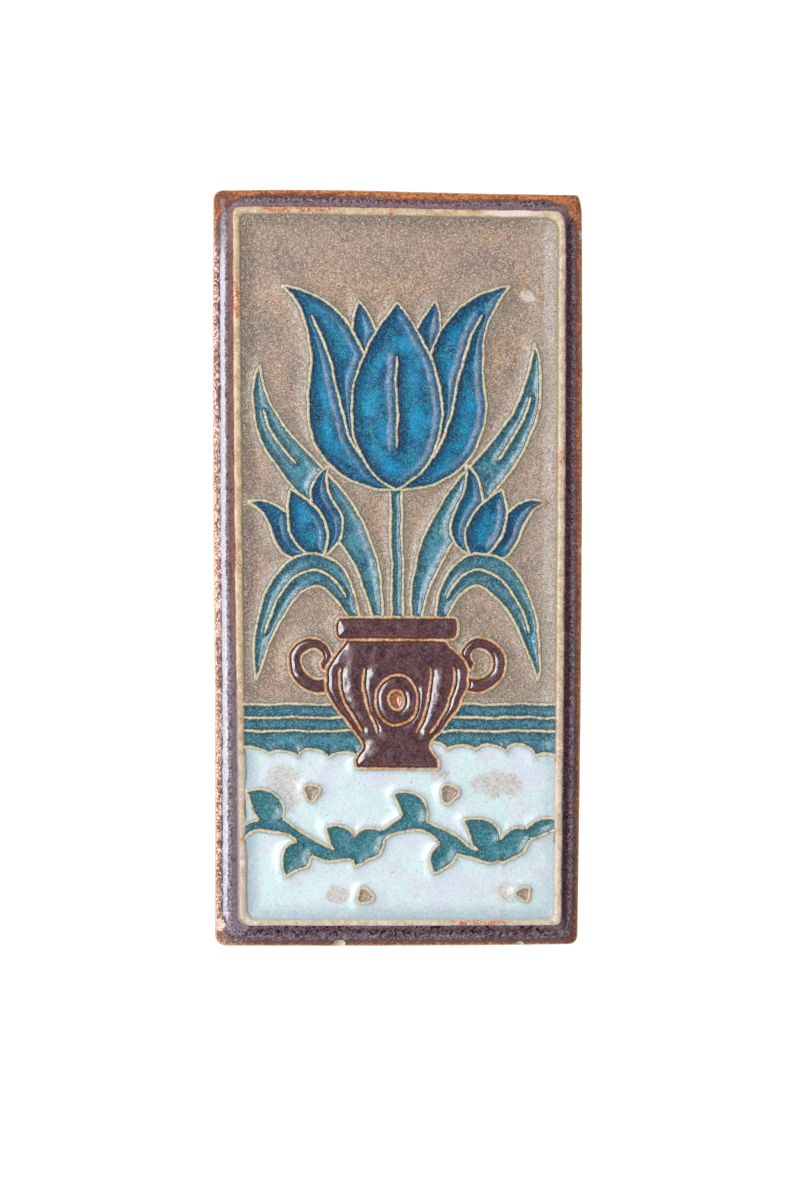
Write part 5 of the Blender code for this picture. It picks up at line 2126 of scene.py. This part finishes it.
@dataclass
class Studio:
    """The pale floor, the soft lights, the white surround and the camera."""

    floor_drop: float = 0.8
    floor_radius: float = 1.3
    lens: float = 100.0
    camera_place: tuple = (0.0009, -0.9595, -0.0091)
    dim_glow: float = 0.12
    full_glow: float = 0.35
    seen_glow: float = 1.05

    def floor(self) -> None:
        """A round pale floor well below the tile."""
        bm = bmesh.new()
        bmesh.ops.create_circle(bm, cap_ends=True, radius=self.floor_radius, segments=96)
        bmesh.ops.translate(bm, vec=(0, 0, -self.floor_drop), verts=bm.verts)
        floor = linked("floor", mesh_from(bm, "floor"))
        mix = Recipe("floor")
        mix.colour = mix.blend(mix.grain(60 * MM), "#F2F1EF", "#F6F5F3")
        floor.data.materials.append(mix.finished(0.8, Emission_Strength=0.06))

    def surround(self) -> None:
        """White to the eye. For the tile it is a soft fill that is darker round the camera."""
        world = bpy.data.worlds.new("surround")
        world.use_nodes = True
        world.node_tree.nodes.clear()
        mix = Mixer(world.node_tree)
        ways = mix.node("ShaderNodeTexCoord").outputs["Generated"]
        ahead = mix.node("ShaderNodeSeparateXYZ", Vector=ways).outputs["Y"]
        glow = mix.ramp(ahead, -0.99, -0.8, self.dim_glow, self.full_glow)
        fill = mix.node("ShaderNodeBackground", Color=(0.98, 0.99, 1.0), Strength=glow)
        seen = mix.node("ShaderNodeBackground", Color=(1.0, 1.0, 1.0), Strength=self.seen_glow)
        either = mix.node("ShaderNodeMixShader", Fac=mix.node("ShaderNodeLightPath").outputs["Is Camera Ray"])
        mix.feed(either.inputs[1], fill.outputs[0])
        mix.feed(either.inputs[2], seen.outputs[0])
        mix.node("ShaderNodeOutputWorld", Surface=either.outputs[0])
        bpy.context.scene.world = world

    def camera(self) -> None:
        """Looks straight at the tile's face."""
        camera = bpy.data.cameras.new("camera")
        camera.lens = self.lens
        camera.sensor_width = 36.0
        camera.clip_end = 20.0
        seat = linked("camera", camera)
        seat.location = self.camera_place
        seat.rotation_euler = (math.pi / 2, 0.0, 0.0)
        bpy.context.scene.camera = seat

    def build(self) -> None:
        """Sets up the whole studio."""
        self.floor()
        self.surround()
        for box in SOFT_BOXES:
            box.build()
        self.camera()
        view = bpy.context.scene.view_settings
        view.view_transform = "Standard"
        view.look = "None"


def main() -> None:
    """Builds every piece of the tile, and the studio."""
    logging.basicConfig(level=logging.INFO, format="%(message)s")
    form = TileForm()
    levels = Levels()
    figures = Picture(form).figures()
    lines = LinePlan(form, figures).lines()
    LOG.info("%d raised lines", len(lines))
    field_map = FieldMap(form, figures, lines)
    Studio().build()
    ClayBody(form, levels).build()
    GlazedBorder(form, levels).build()
    FrameLine(form, field_map, levels).build()
    GlazePools(field_map, levels).build()
    RaisedLines(field_map, levels).build()


if __name__ == "__main__":
    main()
